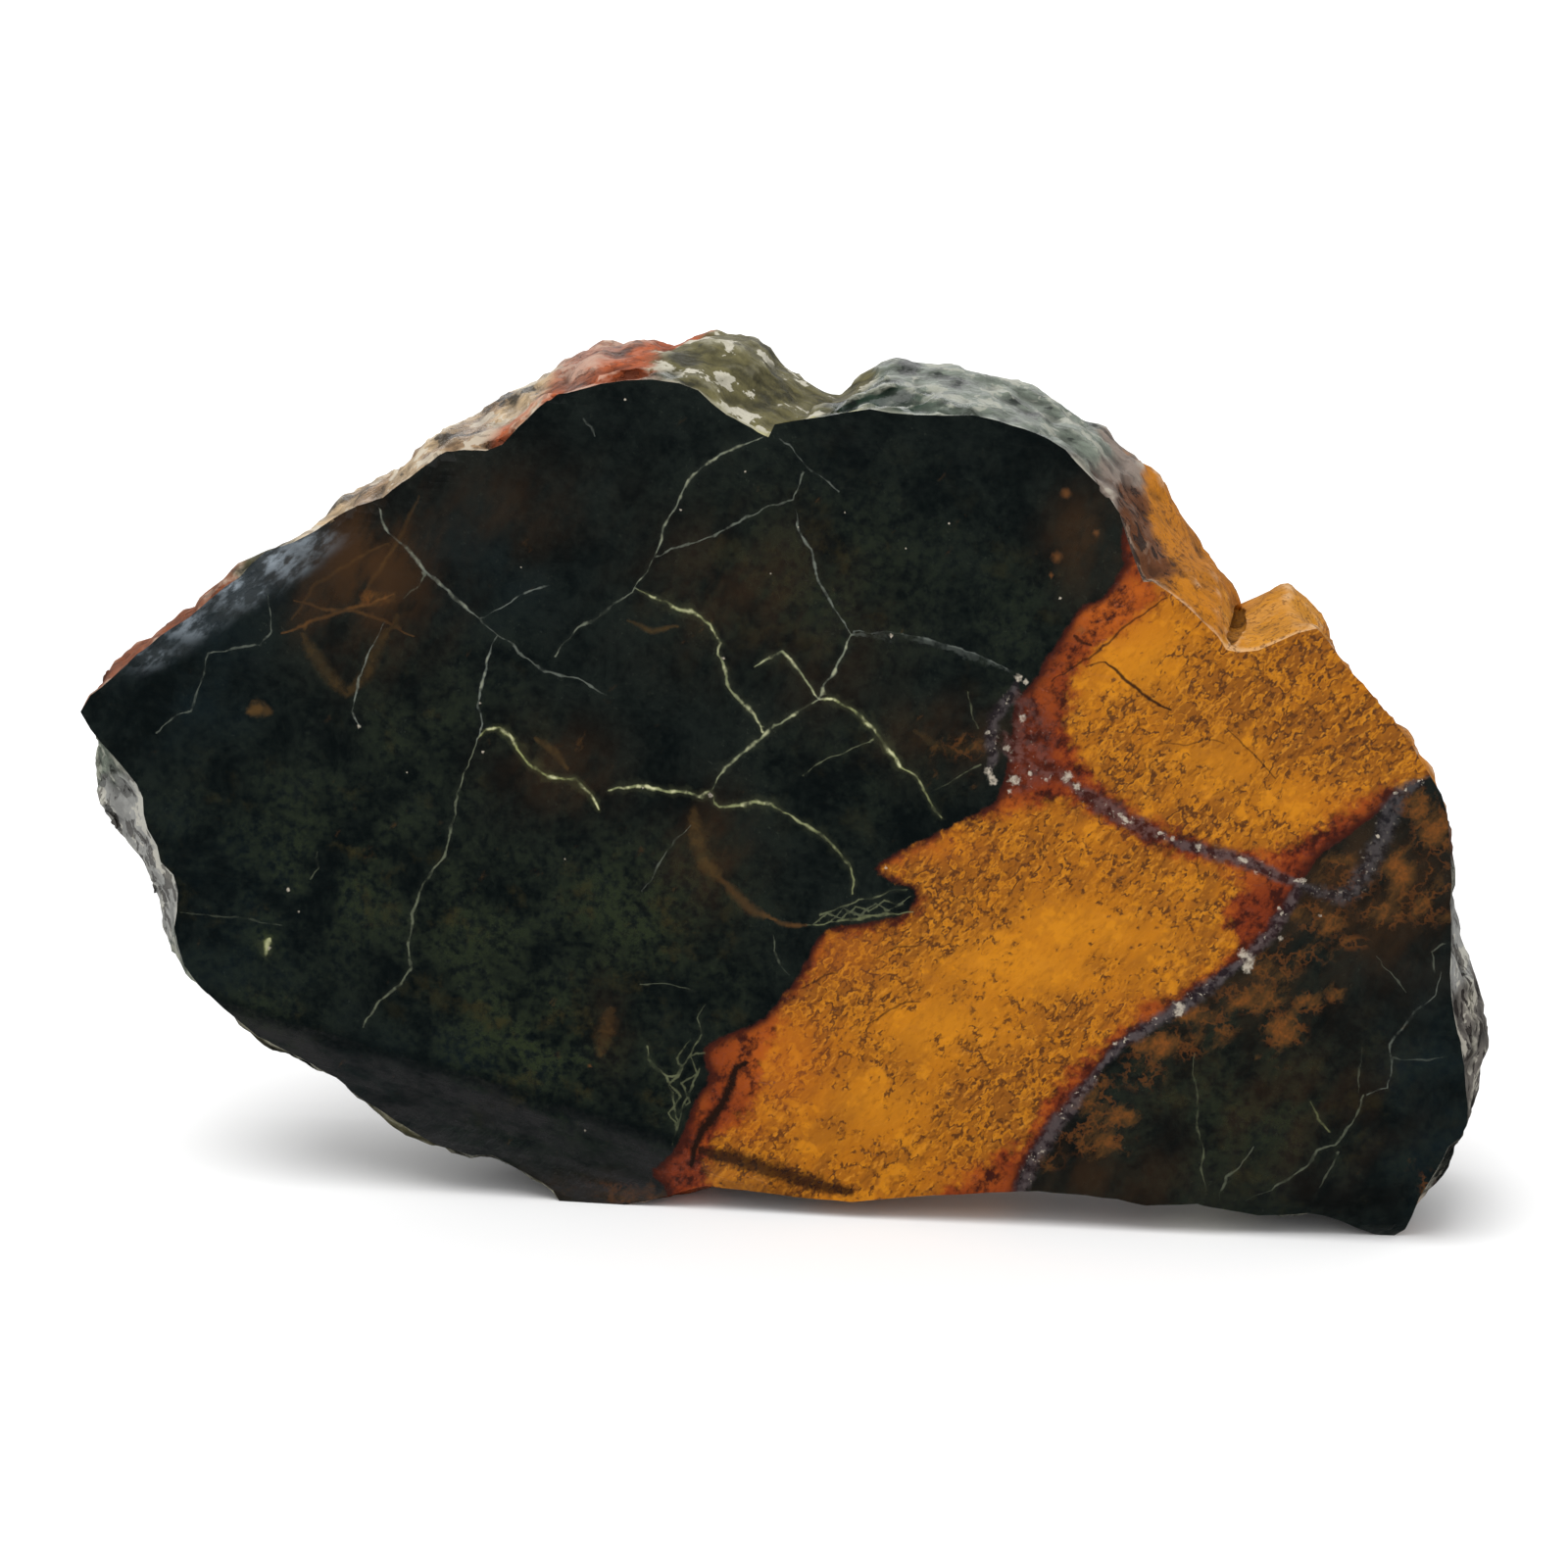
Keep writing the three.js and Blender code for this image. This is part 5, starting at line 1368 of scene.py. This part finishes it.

# %% [markdown]
# ## The polished face
# The polished face is glossy, with the faint waves of hand work. The squiggles in the ochre are
# softer than the quartz round them, so they take a duller polish. On the edge that the wheel rolled
# over, the surface is wrinkled, and a pale blue-grey bloom is painted on it as a painted reflection
# of the bright surroundings. The ground strip at the lower left is painted greyer as a painted
# sheen, with a painted shadow line along its upper edge. The pattern could be baked into a picture,
# but as nodes it stays sharp at any distance.

# %% Polished face
# the greyer colour of the strip is a painted sheen
PAINTED_STRIP_SHEEN = (0.0210, 0.0205, 0.0210)
STRIP_SLOPE = math.radians(15)
# the blue-grey of the painted reflection on the rolled-over edge
PAINTED_BLOOM_REFLECTION = (0.2000, 0.2350, 0.2650)
ROLLED_SLOPE = math.radians(-41)
FACE_ROUGHNESS = 0.16
SCRATCHED = 0.24        # roughness where fine scratches are left
STONE_IOR = 1.54
WHEEL_WAVE = 0.14       # mm, the waves that hand work leaves
WRINKLE = 0.45          # mm, on the edge that the wheel rolled over


def polished_face():
    """The glossy finish of the face and its ground bevels."""
    g = Graph("polished_face")
    colour, is_warm, spotted, fine, tiny = stone_pattern(g)
    where = g.place()
    reflection_haze_share, gleam, _ = g.numbers("reflection_gleam_ridge")
    rolled = g.numbers("spots")[2]
    folds = g.noise(g.place((2.6, 1, 1), ROLLED_SLOPE), 0.9, 5, 0.66, 46.0)
    crinkled = g.add(folds, g.times(g.noise(where, 3.0, 2, 0.5, 47.0), 0.6))
    # painted reflection: a pale blue-grey bloom on the rolled-over edge
    painted_reflection = g.times(g.smooth(crinkled, 0.70, 0.92, 0.12, 1.0), reflection_haze_share)
    colour = g.mix(g.times(painted_reflection, g.smooth(rolled, 0.02, 0.20)), colour, PAINTED_BLOOM_REFLECTION)
    # the ground strip: painted greyer as a painted sheen, with a painted shadow line along its upper edge
    strip = g.numbers("strip")[0]
    ground = g.noise(g.place((3, 1, 1), STRIP_SLOPE), 1.8, 5, 0.68, 48.0)
    strip_with_painted_sheen = g.times(g.smooth(g.add(strip, g.swing(fine, 1.2)), -0.2, 0.4),
                       g.smooth(ground, 0.34, 0.66, 0.05, 0.85))
    painted_seam_shadow = g.times(g.smooth(g.math("ABSOLUTE", g.math("SUBTRACT", strip, 0.2)), 1.3, 0.2, 0.0, 0.75),
                   g.smooth(tiny, 0.3, 0.6, 0.5, 1.0))
    is_dark = g.math("SUBTRACT", 1.0, is_warm)
    colour = g.mix(g.times(strip_with_painted_sheen, is_dark), colour, PAINTED_STRIP_SHEEN)
    g.put(g.shader.inputs["Base Color"], g.mix(g.times(painted_seam_shadow, is_dark), colour, DARK_DEEP))
    scratches = g.noise(g.place((12, 1, 0.6), 0.2), 0.5, 2, 0.6, 41.0)
    dull = g.add(g.times(g.times(spotted, is_warm), 0.08), g.times(strip_with_painted_sheen, 0.12))
    g.put(g.shader.inputs["Roughness"], g.add(g.smooth(scratches, 0.5, 0.8, FACE_ROUGHNESS, SCRATCHED), dull))
    g.shader.inputs["IOR"].default_value = STONE_IOR
    levelled = g.times(rolled, g.math("SUBTRACT", 1.0, gleam, clamp=True))
    wrinkles = g.times(g.times(folds, gleam), g.smooth(rolled, 0.1, 0.8, 0.0, WRINKLE))
    waves = g.times(g.noise(where, 6.0, 2.0, 0.4, 45.0), WHEEL_WAVE)
    height = g.add(g.add(waves, wrinkles), g.add(levelled, g.times(g.times(spotted, is_warm), -0.01)))
    g.put(g.shader.inputs["Normal"], g.bump(height, 1.0))
    return g.material


skin.materials.append(polished_face())
print("face roughness", FACE_ROUGHNESS, "to", SCRATCHED)

# %% [markdown]
# ## The sawn back
# A diamond saw leaves the back matt and a little greyish with stone dust, with the shallow arcs of
# its round blade. The arcs are rings round a point far outside the slab, where the blade's axle
# was, and they are so shallow that a bump is enough.

# %% Sawn back
SAW_DUST = (0.30, 0.27, 0.22)
SAWN_ROUGHNESS = 0.62
BLADE_CENTRE = (0.28, 0, 0.12)      # m, the middle of the arcs that the blade left
ARCS = 105              # how close the arcs lie
ARC_WOBBLE = 1.2
ARC_DEPTH = 0.06        # mm


def sawn_back():
    """The matt finish that the saw leaves."""
    g = Graph("sawn_back")
    colour, *_, tiny = stone_pattern(g)
    dust = g.smooth(g.noise(g.place(), 6.0, 4, 0.6, 51.0), 0.3, 0.75, 0.10, 0.24)
    g.put(g.shader.inputs["Base Color"], g.mix(dust, colour, SAW_DUST))
    g.shader.inputs["Roughness"].default_value = SAWN_ROUGHNESS
    g.shader.inputs["IOR"].default_value = STONE_IOR
    arcs = g.tree.nodes.new("ShaderNodeTexWave")
    arcs.wave_type = "RINGS"
    arcs.rings_direction = "Y"
    move = g.tree.nodes.new("ShaderNodeMapping")
    here = g.tree.nodes.new("ShaderNodeTexCoord")
    g.tree.links.new(here.outputs["Object"], move.inputs["Vector"])
    move.inputs["Location"].default_value = BLADE_CENTRE
    g.tree.links.new(move.outputs[0], arcs.inputs["Vector"])
    arcs.inputs["Scale"].default_value = ARCS
    arcs.inputs["Distortion"].default_value = ARC_WOBBLE
    height = g.add(g.times(arcs.outputs["Fac"], 0.5), g.times(tiny, 0.5))
    g.put(g.shader.inputs["Normal"], g.bump(height, ARC_DEPTH))
    return g.material


skin.materials.append(sawn_back())
print("blade arcs", ARC_DEPTH, "mm deep")

# %% [markdown]
# ## The broken edge
# The broken edge mixes its crust colours with the stone beneath: chalky where it is weathered, dark
# in the pits, darker in the hollows as painted shade, pale where a ridge is bruised, which also
# stands for painted highlights and glints, and pale where the rim is chipped. The colour of each
# stretch is already on the mesh, so the nodes only break it up.

# %% Broken edge
CHALK = (0.560, 0.530, 0.440)
# pale wear on ridges and chipped rims; on ridges it is also a painted highlight
PALE_WEAR_AND_GLINT = (0.820, 0.790, 0.640)
PIT = (0.020, 0.014, 0.012)
CRUST_IOR = 1.42
CRUST_SPECULAR = 0.35


def broken_edge():
    """The crust: each stretch's colour, broken up by chalk, bruises, chips and pits, with painted shade in
    hollows and painted highlights on ridges.
    """
    g = Graph("broken_edge")
    colour, is_warm, spotted, _, tiny = stone_pattern(g)
    crust = g.colour_of("crust")
    chalky, glossy, pitted = g.numbers("weathering")
    ridge = g.numbers("reflection_gleam_ridge")[2]
    where = g.place()
    broad = g.noise(where, 4.4, 4, 0.55, 61.0)
    streaks = g.noise(g.place((2.6, 1, 2.6)), 0.9, 4, 0.62, 62.0)
    lumps = g.noise(where, 1.3, 4, 0.6, 63.0)
    # a darker copy of the crust: random darker tone, and painted shade in the hollows
    darker_crust = g.mix(0.38, (0.0, 0.0, 0.0), crust)
    uneven = g.smooth(g.add(g.times(streaks, 0.40), g.times(broad, 0.60)), 0.56, 0.40)
    tone = g.mix(g.times(uneven, g.smooth(glossy, 0.0, 0.6, 0.35, 1.0)), crust, darker_crust)
    patch = g.add(broad, g.swing(lumps, 0.4))
    fresh = g.times(g.smooth(patch, 0.41, 0.38, 0.0, 0.8), g.smooth(glossy, 0.2, 0.9))
    tone = g.mix(fresh, tone, colour)
    chalk = g.times(g.smooth(patch, 0.545, 0.57), g.times(chalky, 0.85))
    tone = g.mix(chalk, tone, CHALK)
    # painted shade: darker in the hollows
    tone = g.mix(g.smooth(ridge, 0.47, 0.30, 0.0, 0.75), tone, darker_crust)
    # paler ridges: partly bruised wear, partly a painted highlight and glints
    ridge_wear_and_glint = g.times(g.smooth(ridge, 0.58, 0.80), g.smooth(lumps, 0.38, 0.60, 0.15, 0.8))
    tone = g.mix(ridge_wear_and_glint, tone, g.mix(0.30, crust, PALE_WEAR_AND_GLINT))
    behind = g.numbers("spots")[2]
    chipped = g.times(g.smooth(behind, 0.75, 0.25), g.smooth(broad, 0.40, 0.52, 0.0, 0.75))
    tone = g.mix(chipped, tone, g.mix(0.20, crust, PALE_WEAR_AND_GLINT))
    dots = g.times(g.times(spotted, is_warm), g.smooth(glossy, 0.5, 0.1, 0.0, 0.6))
    tone = g.mix(dots, tone, SPECK)
    pits = g.times(g.smooth(g.noise(g.place((1, 0.6, 1.6)), 1.4, 3, 0.6, 66.0), 0.54, 0.59), pitted)
    tone = g.mix(g.times(pits, 0.92), tone, PIT)
    g.put(g.shader.inputs["Base Color"], tone)
    dull = g.add(g.times(chalk, 0.25), g.smooth(tiny, 0.4, 0.7, 0.0, 0.08))
    matt = g.add(g.smooth(glossy, 0.0, 1.0, 0.88, 0.20), dull)
    g.put(g.shader.inputs["Roughness"], matt)
    g.shader.inputs["IOR"].default_value = CRUST_IOR
    g.shader.inputs["Specular IOR Level"].default_value = CRUST_SPECULAR
    grain = g.times(tiny, g.smooth(glossy, 0.0, 1.0, 0.12, 0.03))
    relief = g.add(g.times(streaks, 0.55), g.times(lumps, 0.22))
    relief = g.times(relief, g.smooth(glossy, 0.3, 1.0, 0.8, 0.15))
    height = g.add(g.add(relief, grain), g.add(g.times(pits, -0.30), g.times(chalk, 0.06)))
    g.put(g.shader.inputs["Normal"], g.bump(height, 1.0))
    return g.material


skin.materials.append(broken_edge())
print("finishes", [material.name for material in skin.materials])

# %% [markdown]
# ## Put the skin on the slab
# The skin stands for the CAD node. Shading is smooth, but edges that turn sharply stay sharp, so
# the polished face ends in a clean line.

# %% Finish the skin
SHARP = math.radians(34)

skin.polygons.foreach_set("material_index", kinds.astype(np.int32))
skin.polygons.foreach_set("use_smooth", np.ones(len(kinds), bool))
skin.set_sharp_from_angle(angle=SHARP)
skin.update()
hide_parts("agate_slab")
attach(slab, "root")
print("sharp edges kept above", round(math.degrees(SHARP)), "degrees")

# %% [markdown]
# ## Floor and card
# The slab stands on a pale floor. A dark card lies in front, seen only in reflections: with it the
# polish mirrors dark and the stone keeps its depth, which is how polished stone is usually
# photographed. Both belong to the set and not to the piece.

# %% Floor and card
PAPER = (0.86, 0.86, 0.86)
CARD = (0.02, 0.02, 0.02)
SET_ROUGHNESS = 0.9


def stage_plane(name, centre, size, colour):
    """A flat piece of the set, given by its centre and half its size."""
    mesh = bpy.data.meshes.new(name)
    x, y, z = centre
    w, d = size
    corners = [(x - w, y - d, z), (x + w, y - d, z), (x + w, y + d, z), (x - w, y + d, z)]
    mesh.from_pydata(corners, [], [(0, 1, 2, 3)])
    plane = bpy.data.objects.new(name, mesh)
    bpy.context.scene.collection.objects.link(plane)
    g = Graph(name)
    g.shader.inputs["Base Color"].default_value = (*colour, 1)
    g.shader.inputs["Roughness"].default_value = SET_ROUGHNESS
    g.shader.inputs["Specular IOR Level"].default_value = 0.0
    mesh.materials.append(g.material)
    plane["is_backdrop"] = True
    return plane


floor = stage_plane("floor", (0, 0, 0), (6, 6), PAPER)
floor.visible_glossy = False
card = stage_plane("dark_card", (0, -0.35, -0.004), (1.2, 0.6), CARD)
card.visible_camera = False
card.visible_diffuse = False
card.visible_shadow = False
print("floor and card laid")

# %% [markdown]
# ## Light
# White surroundings and one broad light overhead give the soft shadow of a light tent. A long light
# behind the slab puts glints on the broken edge. The surroundings are dimmed for the gloss alone,
# so that those glints stand out, and the camera sees them plain white.

# %% Light
KEY_FROM = (-0.16, -0.30, 0.94)
KEY_SOFTNESS = math.radians(42)
KEY_STRENGTH = 1.75
AROUND = 0.96            # the white surroundings, as light on the stone
MIRRORED = 0.30          # the same surroundings, as the gloss sees them

world = bpy.data.worlds.new("studio")
bpy.context.scene.world = world
world.use_nodes = True
tree = world.node_tree
background = tree.nodes["Background"]
background.inputs["Color"].default_value = (1, 1, 1, 1)
path = tree.nodes.new("ShaderNodeLightPath")
dimmer = tree.nodes.new("ShaderNodeMapRange")
dimmer.inputs["To Min"].default_value = AROUND
dimmer.inputs["To Max"].default_value = MIRRORED
tree.links.new(path.outputs["Is Glossy Ray"], dimmer.inputs["Value"])
brighter = tree.nodes.new("ShaderNodeMath")
brighter.operation = "MAXIMUM"
tree.links.new(dimmer.outputs["Result"], brighter.inputs[0])
tree.links.new(path.outputs["Is Camera Ray"], brighter.inputs[1])
tree.links.new(brighter.outputs[0], background.inputs["Strength"])

key = bpy.data.objects.new("key_light", bpy.data.lights.new("key_light", "SUN"))
key.data.energy = KEY_STRENGTH
key.data.angle = KEY_SOFTNESS
key.rotation_euler = Vector(KEY_FROM).to_track_quat("Z", "Y").to_euler()
bpy.context.scene.collection.objects.link(key)

RIM_FROM = Vector((-0.15, 0.95, 0.42))
RIM_AT = Vector((0, 0, 0.04))
RIM_SIZE = (0.9, 0.3)
RIM_STRENGTH = 1.4

rim_light = bpy.data.objects.new("rim_light", bpy.data.lights.new("rim_light", "AREA"))
rim_light.data.shape = "RECTANGLE"
rim_light.data.size, rim_light.data.size_y = RIM_SIZE
rim_light.data.energy = RIM_STRENGTH
rim_light.location = RIM_FROM
rim_light.rotation_euler = (RIM_FROM - RIM_AT).to_track_quat("Z", "Y").to_euler()
bpy.context.scene.collection.objects.link(rim_light)
print("key light from", KEY_FROM)

# %% [markdown]
# ## Camera
# A long lens from a little to the right and a little above shows the face almost flat and just
# enough of the broken top to tell how thick the slab is.

# %% Camera
CAMERA_TURN = math.radians(8)
CAMERA_LIFT = math.radians(15)
CAMERA_DISTANCE = 0.444
CAMERA_TARGET = Vector((-0.00067, 0, 0.0424))
LENS = 100              # mm
SENSOR = 36             # mm

camera = bpy.data.objects.new("camera", bpy.data.cameras.new("camera"))
camera.data.lens = LENS
camera.data.sensor_width = SENSOR
level = math.cos(CAMERA_LIFT)
away = Vector((math.sin(CAMERA_TURN) * level, -math.cos(CAMERA_TURN) * level, math.sin(CAMERA_LIFT)))
camera.location = CAMERA_TARGET + away * CAMERA_DISTANCE
camera.rotation_euler = (-away).to_track_quat("-Z", "Y").to_euler()
bpy.context.scene.collection.objects.link(camera)
bpy.context.scene.camera = camera
bpy.context.scene.view_settings.view_transform = "Standard"
print("camera at", [round(v, 3) for v in camera.location])

# %% [markdown]
# ## Sizes before and after
# The skin has to stay within the solid's box. Both boxes are written down so that they can be
# compared.

# %% Write the sizes


def plain(value):
    """Vectors as plain lists."""
    if isinstance(value, dict):
        return {key: plain(item) for key, item in value.items()}
    if hasattr(value, "__len__") and not isinstance(value, str):
        return [plain(item) for item in value]
    return float(value) if isinstance(value, (int, float)) else value


{"before": plain(bounds_before), "after": plain(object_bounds())}
print("bounds", plain(bounds_before), plain(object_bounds()))
